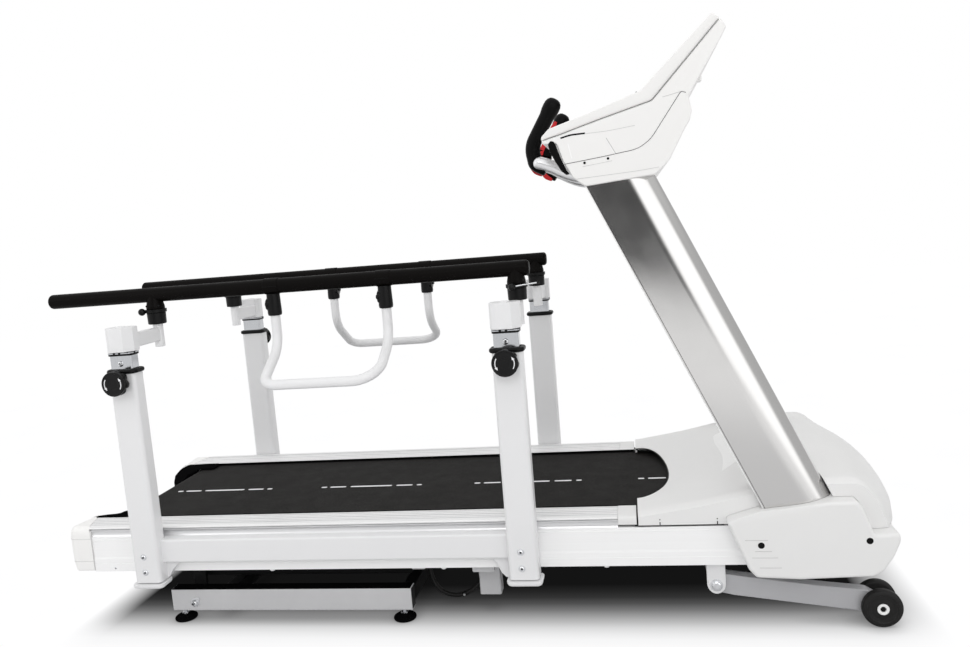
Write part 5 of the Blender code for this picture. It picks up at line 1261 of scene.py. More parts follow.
def make_uprights_and_covers():
    for side in (-1, 1):
        y = lambda v: side * v
        sn = side_name(side)
        put(upright_solid("upright_extrusion_" + sn, side, 0.2505, 1.2350, 0.0, "up_alu"), ROOT, "silver_extrusion",
            "upright_" + sn)
        # painted highlight down the rear corner, with a painted shade line beside it and one at the front
        for nm, off, mat, rr in (("rear", -0.0002, "lightline", 0.0011), ("rear_shade", 0.0044, "line", 0.0007),
                                 ("front_shade", UP_WIDTH - 0.0012, "line", 0.0009)):
            tr = []
            for z in (0.30, 0.6, 0.9, 1.2345):
                q = UP_BASE + UP_NRM * off
                q = q + UP_DIR * ((z - q.z) / UP_DIR.z)
                tr.append((q.x, y(0.3992 if nm == "rear" else (0.4001 if nm == "rear_shade" else 0.3420)), z))
            put(tube("upright_painted_edge_%s_%s" % (nm, sn), tr, rr, 10, mat), ROOT, "bright_tube")
        poly = cover_poly()
        rim = 0.0090
        steps = 6
        seq = [(0.3002, 0.0)]
        for k in range(steps + 1):
            a = math.radians(90 * k / steps)
            seq.append((0.4240 - 0.0090 * (1 - math.sin(a)), rim * (1 - math.cos(a))))
        stack = []
        for h, d in seq:
            stack.append([(p[0], y(h), p[1]) for p in soft_outline(cover_poly(False), COVER_R, d, 5)])
        c = rings("foot_cover_" + sn, stack, "shell", True, 30)
        cut(c, prism("c", soft_outline(cover_poly(False), COVER_R, 0.0045, 5), "y", y(0.290), y(0.4190)), smooth=30)
        # the face leans back above a crease
        crease = [(1.8700, 0.2950), (1.8886, 0.2969), (1.9155, 0.3000), (1.9500, 0.3060), (1.9937, 0.3131), (2.0300, 0.3185),
                  (2.0658, 0.3250), (2.1000, 0.3345), (2.1373, 0.3447), (2.1700, 0.3490), (2.2200, 0.3530)]
        rows = []
        for s_, zc in crease:
            rows.append([(X(s_), y(yy), zz) for yy, zz in ((0.4242, zc), (0.4500, zc), (0.4500, zc + 0.070),
                                                           (0.4242 - 0.30 * 0.070, zc + 0.070))])
        cut(c, rings("c", rows, None, True, 0), smooth=30)
        cut(c, upright_solid("c", side, 0.2300, 0.4200, 0.0012), smooth=30)
        cut(c, box("c", X(1.850), X(1.961), y(0.3500), y(0.3815), 0.1700, 0.2870, None, 0.0),
            box("c", X(1.850), X(2.2025), y(0.2900), y(0.3612), 0.1885, 0.2512, None, 0.0),
            box("c", X(2.1450), X(2.2025), y(0.2900), y(0.3070), 0.1630, 0.2200, None, 0.0), smooth=30)
        put(c, ROOT, "white_shell", "upright_cover_" + sn)
        for k, (s, z) in enumerate(((1.970, 0.244), (2.228, 0.252))):
            dark_hole("cover_screw_%s_%d" % (sn, k + 1), (X(s), y(0.4240), z), (0, side, 0), 0.0082, ROOT)
        # faint embossed marks
        for k, (s0, s1, z) in enumerate(((1.9307, 1.9865, 0.2580), (1.9540, 1.9950, 0.2288), (1.9460, 2.0088, 0.2118),
                                         (1.9641, 2.0173, 0.1852))):
            put(tube("cover_mark_%s_%d" % (sn, k + 1), [(X(s0), y(0.4240), z), (X((s0 + s1) / 2), y(0.4241), z - 0.0004),
                                                        (X(s1), y(0.4240), z - 0.0006)], 0.0008, 8, "softline"), ROOT,
                "white_shell")


def ramp(s, table):
    if s <= table[0][0]:
        return table[0][1]
    for (s0, v0), (s1, v1) in zip(table, table[1:]):
        if s <= s1:
            t = (s - s0) / (s1 - s0)
            return v0 + (v1 - v0) * t
    return table[-1][1]


def smooth_ramp(s, table, w=0.018):
    """Table value averaged over a short window, so its corners are rounded."""
    return sum(ramp(s + w * k / 3.0, table) for k in range(-3, 4)) / 7.0


HOOD_SHOULDER = [(1.668, 0.320), (1.750, 0.333), (1.830, 0.346), (1.950, 0.372), (2.050, 0.388), (2.140, 0.397),
                 (2.300, 0.397)]
HOOD_CROWN = [(1.668, 0.3070), (1.765, 0.3110), (1.820, 0.3300), (1.900, 0.3640), (2.000, 0.4010), (2.090, 0.4190),
              (2.300, 0.4240)]


def hood_height(s, yy):
    ay = abs(yy)
    t = min(1.0, ay / 0.345)
    blend = t * t * (3 - 2 * t)
    z = smooth_ramp(s, HOOD_CROWN) * (1 - blend) + smooth_ramp(s, HOOD_SHOULDER) * blend
    edge = max(0.0, (ay - 0.360) / 0.0205)
    z -= 0.012 * edge * edge
    nose = 2.382 - 0.60 * ay * ay
    span = 0.215 - 0.110 * (ay / 0.36) ** 2
    t = (nose - s) / span
    if t < 1.0:
        t = max(0.0, t)
        z = 0.165 + (z - 0.165) * math.sqrt(max(0.0, 1.0 - (1.0 - t) ** 2))
    return z


def hood_block(name, off, zb, mat=None):
    stations = [1.668 + (2.16 - 1.668) * k / 26 for k in range(27)]
    stations += [2.16 + (2.382 - 2.16) * (1 - (1 - k / 22.0) ** 1.9) * 0.9985 for k in range(1, 23)]
    across = []
    m = 22
    for k in range(-m, m + 1):
        t = k / m
        across.append(math.copysign(abs(t) ** 0.72, t))
    half = 0.3805 - off
    rows = []
    for s in stations:
        row = []
        for v in across:
            yy = half * v
            nose = 2.382 - 0.60 * yy * yy
            sx = s + off if s < 1.67 else s
            if s > 1.9:
                sx = 1.9 + (s - 1.9) * (nose - off - 1.9) / (2.382 - 1.9)
            row.append((sx, yy, hood_height(sx + (off if s > 2.3 else 0.0), yy) - off))
        rows.append(row)
    bm = bmesh.new()
    top = [[bm.verts.new((X(p[0]), p[1], max(p[2], zb + 0.002))) for p in row] for row in rows]
    bot = [[bm.verts.new((X(p[0]), p[1], zb)) for p in row] for row in rows]
    ni, nj = len(rows), len(rows[0])
    for i in range(ni - 1):
        for j in range(nj - 1):
            bm.faces.new((top[i][j], top[i + 1][j], top[i + 1][j + 1], top[i][j + 1]))
            bm.faces.new((bot[i][j], bot[i][j + 1], bot[i + 1][j + 1], bot[i + 1][j]))
    for i in range(ni - 1):
        for j in (0, nj - 1):
            bm.faces.new((top[i][j], bot[i][j], bot[i + 1][j], top[i + 1][j]))
    for j in range(nj - 1):
        for i in (0, ni - 1):
            bm.faces.new((top[i][j], top[i][j + 1], bot[i][j + 1], bot[i][j]))
    return mesh_obj(name, bm, mat, 32)


def arch_points(n=40, grow=0.0):
    pts = []
    for k in range(n + 1):
        a = math.radians(-90 + 180 * k / n)
        pts.append((1.672 + (0.0935 + grow) * math.cos(a), (0.256 + grow) * math.sin(a)))
    return pts


def make_hood():
    h = hood_block("motor_cover", 0.0, 0.160, "shell")
    cut(h, hood_block("c", 0.0045, 0.150), smooth=32)
    cut(h, box("c", X(1.600), X(2.180), -0.45, 0.45, 0.100, 0.2862, None, 0.0), smooth=32)
    cut(h, box("c", X(1.600), X(1.920), -0.2900, 0.2900, 0.1000, 0.3040, None, 0.0), smooth=32)
    arch = [(X(p[0]), p[1]) for p in arch_points()]
    pts = [(X(1.600), -0.256)] + arch + [(X(1.600), 0.256)]
    cut(h, prism("c", pts, "z", 0.250, 0.60), smooth=32)
    for side in (-1, 1):
        lo, hi = [], []
        for w, yy in ((-0.0025, 0.3195), (-0.0025, 0.4100), (UP_WIDTH + 0.0025, 0.4100), (UP_WIDTH + 0.0025, 0.3195)):
            p = UP_BASE + UP_NRM * w
            for z, arr in ((0.2450, lo), (0.6500, hi)):
                q = p + UP_DIR * ((z - p.z) / UP_DIR.z)
                arr.append((q.x, side * yy, z))
        cut(h, rings("c", [lo, hi], None, True, 0), smooth=32)
    for side in (-1, 1):
        y = lambda v: side * v
        cut(h, prism("c", soft_outline(cover_poly(False), COVER_R, -0.0006, 5), "y", y(0.2992), y(0.60)), smooth=32)
    # the nose tucks in towards its lower edge
    for v in h.data.vertices:
        w_ = min(1.0, max(0.0, (v.co.x - X(2.222 - 0.60 * v.co.y ** 2)) / 0.100))
        v.co.x -= 0.75 * max(0.0, 0.26 - v.co.z) * w_
    put(h, ROOT, "white_shell", "motor_hood")
    # lining walls round each upright, up to the hood's skin
    for side in (-1, 1):
        sn = side_name(side)

        def on_hood(w, yy):
            p = UP_BASE + UP_NRM * w
            z = 0.36
            for _ in range(8):
                q = p + UP_DIR * ((z - p.z) / UP_DIR.z)
                z = hood_height(q.x + X_REF, yy) - 0.0008
            q = p + UP_DIR * ((z - p.z) / UP_DIR.z)
            return (q.x, side * yy, z)

        def at_z(w, yy, z):
            p = UP_BASE + UP_NRM * w
            q = p + UP_DIR * ((z - p.z) / UP_DIR.z)
            return (q.x, side * yy, z)
        u1 = UP_WIDTH + 0.0022
        for nm, c4 in (("front", ((u1, 0.3180), (u1, 0.3775), (u1 + 0.0020, 0.3775), (u1 + 0.0020, 0.3180))),
                       ("inner", ((-0.0022, 0.3178), (-0.0022, 0.3198), (u1, 0.3198), (u1, 0.3178))),
                       ("rear", ((-0.0042, 0.3180), (-0.0042, 0.3775), (-0.0022, 0.3775), (-0.0022, 0.3180)))):
            put(rings("upright_lining_%s_%s" % (nm, sn), [[at_z(w, yy, 0.3050) for w, yy in c4], [on_hood(w, yy) for w, yy in c4]],
                      "lightline", True, 20), ROOT, "white_shell")
    # raised brow across the hood behind the arch, in near-white: a painted highlight
    lft = [(-0.183, 1.9030), (-0.120, 1.9130), (-0.054, 1.9190), (0.030, 1.9160), (0.105, 1.9110), (0.204, 1.9160)]
    rgt = [(-0.100, 1.9900), (0.243, 1.9900)]
    top_, bot_ = [], []
    nr, nc = 22, 8
    for a_ in range(nr + 1):
        t = a_ / nr
        yl = -0.183 + (0.204 + 0.183) * t
        yr = -0.100 + (0.243 + 0.100) * t
        row = []
        for b_ in range(nc + 1):
            u = b_ / nc
            s_ = ramp(yl, lft) * (1 - u) + 1.9900 * u
            yy = yl * (1 - u) + yr * u
            edge_ = min(1.0, min(a_, nr - a_, b_ * 2.0) / 1.0)
            row.append((X(s_), yy, hood_height(s_, yy) + 0.0018 * edge_ - 0.0006 * (1 - edge_)))
        top_.append(row)
        bot_.append([(p[0], p[1], p[2] - 0.0030) for p in row])
    rows = [t_ + list(reversed(b2)) for t_, b2 in zip(top_, bot_)]
    put(rings("hood_brow_highlight", rows, "lightline", True, 40), ROOT, "white_shell")
    # thin black tube along the arch's edge
    line = []
    for s, yy in arch_points(48, -0.0016):
        line.append((X(s), yy, hood_height(s, yy) - 0.0030))
    line = [(X(1.6685), -0.2544, hood_height(1.67, 0.2544) - 0.003)] + line + \
           [(X(1.6685), 0.2544, hood_height(1.67, 0.2544) - 0.003)]
    put(tube("arch_black_edge", line, 0.0018, 10, "black"), ROOT, "black_rubber")
    for side in (-1, 1):
        y = lambda v: side * v
        sn = side_name(side)
        # gasket under the hood's edge
        put(box("hood_gasket_" + sn, X(1.667), X(1.8860), y(0.3640), y(0.3796), 0.2838, 0.2864, "dark", 0.0004), ROOT,
            "black_rubber")
        # near-black slots and dots on the hood's side: painted shade of the openings
        for k, s in enumerate((1.7237, 1.8695)):
            put(box("hood_slot_%s_%d" % (sn, k + 1), X(s) - 0.0012, X(s) + 0.0012, y(0.3790), y(0.3812), 0.2868, 0.2945,
                    "dark", 0.0002), ROOT, "black_plastic")
            put(lathe("hood_dot_%s_%d" % (sn, k + 1), [(0, 0.3780), (0.0015, 0.3780), (0.0015, 0.3811), (0, 0.3812)],
                      (X(s), 0, 0.3010), "y" if side > 0 else "-y", 12, "dark"), ROOT, "black_plastic")


# ------------------------------------------------------------------ console
TOP_SEAM = [(1.4870, 1.2975), (1.5360, 1.3095), (1.6370, 1.3370), (1.7640, 1.3690), (1.9340, 1.5450)]
TOP_FACE = [(1.9160, 1.5600), (1.7380, 1.3960), (1.6130, 1.3560), (1.5630, 1.3420), (1.5070, 1.3260),
            (1.4880, 1.3080)]
BODY_LOW = [(1.9480, 1.5230), (1.9290, 1.4900), (1.8880, 1.4270), (1.8520, 1.3700), (1.8580, 1.3360),
            (1.8520, 1.3130), (1.8370, 1.2900), (1.7990, 1.2220), (1.7790, 1.2040), (1.7620, 1.1900),
            (1.5890, 1.1760), (1.5610, 1.2000), (1.5390, 1.2410), (1.5250, 1.2880), (1.4920, 1.2880)]


def console_solid(name, pts, radii, half, rim, mat, inset=0.85):
    """Extrusion across the machine with softly rounded cheeks."""
    seq = []
    steps = 5
    for k in range(steps + 1):
        a = math.radians(90 * k / steps)
        seq.append((-half + rim * (1 - math.sin(a)), rim * inset * (1 - math.cos(a))))
    seq = list(reversed(seq))
    full = []
    for h, d in sorted(seq, key=lambda q: q[0]):
        full.append((h, d))
    mirror = [(-h, d) for h, d in reversed(full)]
    stack = []
    for h, d in full + mirror:
        out = soft_outline(pts, radii, d, 4)
        stack.append([(p[0], h, p[1]) for p in out])
    return rings(name, stack, mat, True, 30)


GRIP_LINE = [(1.4745, 1.2405), (1.4470, 1.2560), (1.4390, 1.3060), (1.5035, 1.4110)]


def grip_centre(side, step=0.08):
    return fillet_path([(X(p[0]), side * 0.178, p[1]) for p in GRIP_LINE], [0.020, 0.060], step)


def elbow_path(side):
    """Bright tube that leaves the console and ends, rounded, on the outside of the grip."""
    ctrl = [(1.4560, 1.2595), (1.4758, 1.2525), (1.4985, 1.2425), (1.5157, 1.2325), (1.5470, 1.2190), (1.5800, 1.2120),
            (1.6150, 1.2090)]
    pts = [Vector((X(p[0]), side * 0.1850, p[1])) for p in ctrl]
    out = []
    for i in range(len(pts) - 1):
        p0, p1, p2, p3 = pts[max(0, i - 1)], pts[i], pts[i + 1], pts[min(len(pts) - 1, i + 2)]
        for k in range(4):
            t = k / 4.0
            out.append(0.5 * ((2 * p1) + (p2 - p0) * t + (2 * p0 - 5 * p1 + 4 * p2 - p3) * t * t +
                              (3 * p1 - p0 - 3 * p2 + p3) * t ** 3))
    out.append(pts[-1])
    return out


def make_console():
    seam = [(X(p[0]), p[1]) for p in TOP_SEAM]
    face = [(X(p[0]), p[1]) for p in TOP_FACE]
    low = [(X(p[0]), p[1]) for p in BODY_LOW]
    lift = [(p[0] - 0.0003, p[1] + 0.0006) for p in seam]
    tr = [0.003, 0.05, 0.05, 0.012, 0.004, 0.006, 0.016, 0.03, 0.02, 0.012, 0.008]
    br = [0.003, 0.05, 0.05, 0.012, 0.004, 0.010, 0.03, 0.05, 0.014, 0.012, 0.016, 0.02, 0.05, 0.012, 0.012, 0.012, 0.02,
          0.03, 0.008, 0.006]
    top = console_solid("console_display_housing", lift + face, tr, 0.4010, 0.0040, "shell_warm", 0.6)
    body = console_solid("console_lower_housing", seam + low, br, 0.4050, 0.0060, "shell_warm", 0.6)
    for side in (-1, 1):
        cut(body, upright_solid("c", side, 1.1000, 1.2362, 0.0010), smooth=30)
        cut(body, tube("c", elbow_path(side)[8:], 0.0198, 24), smooth=30)
    bx, bz = X(1.5850), 1.3482
    nrm = Vector((-0.26, 0, 0.966)).normalized()
    cut(top, lathe("c", [(0, -0.020), (0.0172, -0.020), (0.0172, 0.020), (0, 0.020)], (bx, 0, bz), nrm, 32), smooth=30)
    # display glass let into the tilted face
    a, b = Vector((X(1.9160), 1.5600)), Vector((X(1.7380), 1.3960))
    d = (b - a).normalized()
    nn = Vector((-d.y, d.x))
    if nn.x > 0:
        nn = -nn

    def panel(name, t0, t1, y0, y1, h0, h1, mat, slot, r=0.010):
        """Flat piece on the tilted face; t runs down it."""
        pts = round_rect((t0 + t1) / 2, (y0 + y1) / 2, t1 - t0, y1 - y0, r, 6)
        lo = [(a.x + d.x * t + nn.x * h0, yy, a.y + d.y * t + nn.y * h0) for t, yy in pts]
        hi = [(a.x + d.x * t + nn.x * h1, yy, a.y + d.y * t + nn.y * h1) for t, yy in pts]
        cen = [(a.x + d.x * t + nn.x * (h1 - 0.0006), yy, a.y + d.y * t + nn.y * (h1 - 0.0006)) for t, yy in pts]
        pin = inset_poly(pts, 0.0006)
        hi = [(a.x + d.x * t + nn.x * h1, yy, a.y + d.y * t + nn.y * h1) for t, yy in pin]
        ob = rings(name, [lo, cen, hi], mat, True, 30)
        return put(ob, ROOT, slot)

    put(top, ROOT, "white_shell", "console_top")
    put(body, ROOT, "white_shell", "console_body")
    panel("display_bezel", 0.022, 0.196, -0.275, 0.275, -0.002, 0.0010, "black", "black_plastic", 0.014)
    panel("display_window", 0.034, 0.184, -0.165, 0.165, -0.002, 0.0016, "glass", "black_plastic", 0.008)
    for i in range(2):
        for j in range(4):
            t0 = 0.040 + j * 0.036
            yy = (-0.222, 0.222)[i]
            panel("display_key_%d_%d" % (i + 1, j + 1), t0, t0 + 0.024, yy - 0.026, yy + 0.026, -0.001, 0.0022, "keys",
                  "black_plastic", 0.005)
    # reading rest below the window
    rest = [(X(1.7380), 1.3975), (X(1.7450), 1.4060), (X(1.7375), 1.4290), (X(1.7315), 1.4300), (X(1.7275), 1.4120),
            (X(1.7305), 1.3950)]
    put(prism("reading_rest", rest, "y", -0.150, 0.150, "black", 0.0015), ROOT, "black_plastic")
    # membrane keys on the ledge
    p0, p1 = Vector((X(1.7300), 1.3934)), Vector((X(1.6160), 1.3570))
    dl = (p1 - p0).normalized()
    nl = Vector((dl.y, -dl.x))
    if nl.y < 0:
        nl = -nl

    def ledge(name, t0, t1, y0, y1, h1, mat, r=0.004):
        pts = round_rect((t0 + t1) / 2, (y0 + y1) / 2, t1 - t0, y1 - y0, r, 5)
        lo = [(p0.x + dl.x * t - nl.x * 0.002, yy, p0.y + dl.y * t - nl.y * 0.002) for t, yy in pts]
        cen = [(p0.x + dl.x * t + nl.x * (h1 - 0.0005), yy, p0.y + dl.y * t + nl.y * (h1 - 0.0005)) for t, yy in pts]
        hi = [(p0.x + dl.x * t + nl.x * h1, yy, p0.y + dl.y * t + nl.y * h1) for t, yy in inset_poly(pts, 0.0005)]
        return put(rings(name, [lo, cen, hi], mat, True, 30), ROOT, "black_plastic")
    ledge("key_field", 0.018, 0.104, -0.250, 0.250, 0.0009, "keys", 0.010)
    for i in range(7):
        for j in range(2):
            yy = -0.204 + i * 0.068
            t0 = 0.027 + j * 0.038
            ledge("ledge_key_%d_%d" % (i + 1, j + 1), t0, t0 + 0.026, yy - 0.024, yy + 0.024, 0.0022,
                  "black" if j else "shell", 0.005)
    # seams, grooves and screws on both cheeks
    for side in (-1, 1):
        sn = side_name(side)
        y = lambda v: side * v
        yo, yi = y(0.4054), y(0.4030)

        def cheek(nm, pts, w, mat, rnd=0.02, lift_=0.0):
            ribbon("%s_%s" % (nm, sn), [(X(p[0]), p[1]) for p in fine_line(pts, rnd, 4)], "y", y(0.4030), yo + side * lift_, w,
                   mat)
        cheek("seam_upper", [(1.4930, 1.2990), (1.5360, 1.3095), (1.6370, 1.3370), (1.7640, 1.3690), (1.9300, 1.5410)], 0.0008,
              "line", 0.006)
        cheek("seam_lower", [(1.5395, 1.2350), (1.6370, 1.2450), (1.7240, 1.2560), (1.7560, 1.2760), (1.8340, 1.3830),
                             (1.8460, 1.3790)], 0.0014, "line", 0.02)
        cheek("seam_mid", [(1.7900, 1.3740), (1.8100, 1.3775), (1.8360, 1.3830)], 0.0016, "softline")
        # near-black vent slit: painted shade of the slot
        cheek("vent_slit", [(1.5365, 1.2998), (1.5606, 1.3055), (1.5977, 1.3062)], 0.0040, "dark", 0.01)
        # a groove drawn as a grey line beside a white one, and a white panel line: painted shade and painted highlight
        cheek("groove_short", [(1.6485, 1.2900), (1.6706, 1.2480)], 0.0022, "softline")
        cheek("groove_highlight", [(1.6462, 1.2895), (1.6683, 1.2475)], 0.0016, "lightline")
        cheek("panel_highlight", [(1.5541, 1.2841), (1.5610, 1.2480)], 0.0022, "lightline")
        cheek("belly_line", [(1.5690, 1.1960), (1.7258, 1.2030), (1.7720, 1.2075)], 0.0014, "softline")
        cheek("shelf_line", [(1.5977, 1.3052), (1.6500, 1.3060), (1.7200, 1.3130)], 0.0014, "softline")
        cheek("seat_line", [(1.5860, 1.2250), (1.6600, 1.2330)], 0.0012, "softline")
        for k, (s, z) in enumerate(((1.5918, 1.2340), (1.6501, 1.2395))):
            dark_hole("cheek_screw_%s_%d" % (sn, k + 1), (X(s), y(0.4052), z), (0, side, 0), 0.0032, ROOT)
        # black slanted trim bar at the rear of the cheek
        trim = [(1.5040, 1.2880), (1.5110, 1.2960), (1.5195, 1.2935), (1.5330, 1.2520), (1.5460, 1.2200), (1.5535, 1.2110),
                (1.5440, 1.2090), (1.5330, 1.2190), (1.5180, 1.2460), (1.5070, 1.2700)]
        trim = [(X(p[0]), p[1]) for p in trim]
        stack = []
        for h, d in ((0.3850, 0.0), (0.4047, 0.0), (0.4056, 0.0003), (0.4062, 0.0012)):
            stack.append([(p[0], y(h), p[1]) for p in soft_outline(trim, 0.005, d, 4)])
        put(rings("cheek_trim_" + sn, stack, "grip", True, 30), ROOT, "black_plastic")
        # moulded hinge bumps on the back of the housing
        put(pillow_prism("housing_bump_%s" % sn, round_rect(y(0.345), 1.4170, 0.030, 0.016, 0.006, 5), "x", X(1.8740), X(1.8885),
                         0.003, "shell_warm", 4, False), ROOT, "white_shell")
    # tube, grips, switches
    for side in (-1, 1):
        sn = side_name(side)
        run = elbow_path(side)
        d0 = (run[0] - run[1]).normalized()
        pts = [run[0] + d0 * 0.0188 * q for q in (0.995, 0.95, 0.84, 0.66, 0.42, 0.18)] + run
        rad = [0.0188 * q for q in (0.10, 0.32, 0.545, 0.752, 0.908, 0.984)] + [0.0188] * len(run)
        put(tube("grip_tube_" + sn, pts, 0.0188, 40, "satin", radii=rad), ROOT, "bright_tube", "handlebar")
    btn = soft_profile([(0, -0.0140), (0.0165, -0.0140), (0.0165, 0.0068), (0.0222, 0.0076), (0.0225, 0.0086), (0.0225, 0.0126),
                        (0.0205, 0.0150), (0.0160, 0.0166), (0.0080, 0.0173), (0, 0.0175)], 0.0008, 3)
    put(lathe("stop_mushroom", btn, (bx, 0, bz), nrm, 48, "red"), "stop_button_body", "red_plastic", "stop_button")
    put(lathe("stop_collar", soft_profile([(0.0190, -0.001), (0.0300, -0.001), (0.0300, 0.0022), (0.0285, 0.0032),
                                           (0.0190, 0.0032), (0.0190, -0.001)], 0.0006), (bx, 0, bz), nrm, 48, "black"), ROOT,
        "black_plastic")
    for side in (-1, 1):
        y = lambda v: side * v
        sn = side_name(side)
        line = grip_centre(side, 0.08)
        last = line[-1]
        d0 = (line[1] - line[0]).normalized()
        d3 = (line[-1] - line[-2]).normalized()
        pts = [line[0] - d0 * 0.003, line[0] - d0 * 0.001, line[0] + d0 * 0.004] + line[1:-1] + \
              [last - d3 * 0.034, last - d3 * 0.028, last - d3 * 0.016, last - d3 * 0.006,
               last + d3 * 0.004, last + d3 * 0.012, last + d3 * 0.018, last + d3 * 0.0205, last + d3 * 0.0212]
        n_mid = len(line) - 2
        rad = [0.0140, 0.0172, 0.0182] + [0.0184 + 0.0022 * min(1.0, k / (0.35 * n_mid)) for k in range(n_mid)] + \
              [0.0208, 0.0216, 0.0234, 0.0238, 0.0232, 0.0204, 0.0150, 0.0090, 0.0030]
        put(tube("grip_sleeve_" + sn, pts, 0.02, 44, "grip", radii=rad), ROOT, "black_sleeve", "grip_" + sn)
        # thumb switch strip on the inboard and rear face
        mid = [line[0].lerp(line[1], 0.25)] + line[1:-1] + [last - d3 * 0.012]
        centre = []
        for p, q in zip(mid, mid[1:]):
            n_seg = max(1, int((q - p).length / 0.006))
            for k in range(n_seg):
                centre.append(p.lerp(q, k / n_seg))
        centre.append(mid[-1])
        left, right = [], []
        for i, q in enumerate(centre):
            p_, n_ = centre[max(0, i - 1)], centre[min(len(centre) - 1, i + 1)]
            tn = (n_ - p_).normalized()
            sd = Vector((tn.z, 0, -tn.x))
            if sd.x > 0 and i > len(centre) * 0.5 or sd.z > 0 and i <= len(centre) * 0.5:
                sd = -sd
            end = min(1.0, min(i, len(centre) - 1 - i) / 3.0)
            so = 0.0128 + 0.0050 * max(0.0, 1.0 - i / (0.30 * len(centre)))
            w = 0.0072 * (0.55 + 0.45 * math.sqrt(end))
            left.append((q.x + sd.x * (so + w), q.z + sd.z * (so + w)))
            right.append((q.x + sd.x * (so - w), q.z + sd.z * (so - w)))
        nm = "speed_switch" if side < 0 else "incline_switch"
        put(prism(nm + "_strip", left + list(reversed(right)), "y", y(0.1542), y(0.1592), "red", 0.0010), nm + "_body",
            "red_plastic", nm)


# ------------------------------------------------------------------ base, lift, wheels, lead
def make_base():
    rb = "rear_base_body"
    for side in (-1, 1):
        sn = side_name(side)
        cy = side * 0.32025
        put(pillow_prism("base_tube_" + sn, round_rect(cy, 0.0662, 0.0395, 0.0664, 0.0045, 5), "x", X(0.280), X(1.020), 0.0012,
                         "grey"), rb, "grey_paint", "rear_base")
        # black strip on top of each tube: painted shade on the tube's top face
        put(box("base_top_shade_strip_" + sn, X(0.2815), X(1.0185), cy - 0.0185, cy + 0.0185, 0.0980, 0.1000, "matt_black", 0.0006), rb,
            "black_plastic")
        for s, k in ((0.2792, "rear"), (1.0196, "front")):
            put(pillow_prism("base_plug_%s_%s" % (k, sn), round_rect(cy, 0.0665, 0.0330, 0.0600, 0.004, 4), "x", X(s),
                             X(s) + 0.0012, 0.0004, "black"), rb, "black_plastic")
        for nm, s in (("rear", 0.306), ("front", 0.990)):
            fb = "foot_%s_%s_body" % (nm, sn)
            prof = soft_profile([(0, 0.0), (0.0310, 0.0), (0.0330, 0.0040), (0.0325, 0.0080), (0.0270, 0.0115), (0.0190, 0.0138),
                                 (0.0120, 0.0152), (0.0085, 0.0156), (0, 0.0156)], 0.0020, 4)
            put(lathe("foot_pad_%s_%s" % (nm, sn), prof, (X(s), side * 0.318, 0), "z", 44, "matt_black"), fb, "black_rubber",
                "foot_%s_%s" % (nm, sn))
            stud = [(0, 0.0130), (0.0058, 0.0130)]
            z = 0.0170
            while z < 0.0540:
                stud += [(0.0060, z), (0.0054, z + 0.0006)]
                z += 0.0012
            stud += [(0, 0.0555)]
            put(lathe("foot_stud_%s_%s" % (nm, sn), stud, (X(s), side * 0.318, 0), "z", 20, "zinc"), fb, "bare_steel",
                "foot_%s_%s" % (nm, sn))
            hex_nut("foot_nut_%s_%s" % (nm, sn), (X(s), side * 0.318, 0.0158), (0, 0, 1), 0.0108, 0.0060, fb)
        px, pz = X(BASE_PIVOT[0]), BASE_PIVOT[1]
        put(lathe("base_pivot_pin_" + sn, [(0, 0.2870), (0.0070, 0.2870), (0.0070, 0.3050), (0, 0.3050)], (px, 0, pz),
                  "y" if side > 0 else "-y", 24, "zinc"), rb, "bare_steel", "rear_base")
        button_bolt("base_pivot_bolt_" + sn, (px, side * 0.3400, pz), (0, side, 0), 0.0105, 0.0110, rb, 1.25)
        hex_nut("base_pivot_nut_" + sn, (px + 0.010, side * 0.3400, pz + 0.010), (0, side, 0), 0.0068, 0.0035, rb)
    # cross tubes in near-black: painted shade on the grey tubes under the frame
    for k, s in enumerate((0.435, 0.995)):
        put(pillow_prism("base_cross_%d" % (k + 1), round_rect(X(s), 0.059, 0.040, 0.042, 0.004, 5), "y", -0.301, 0.301, 0.001,
                         "shade_black"), rb, "grey_paint", "rear_base")


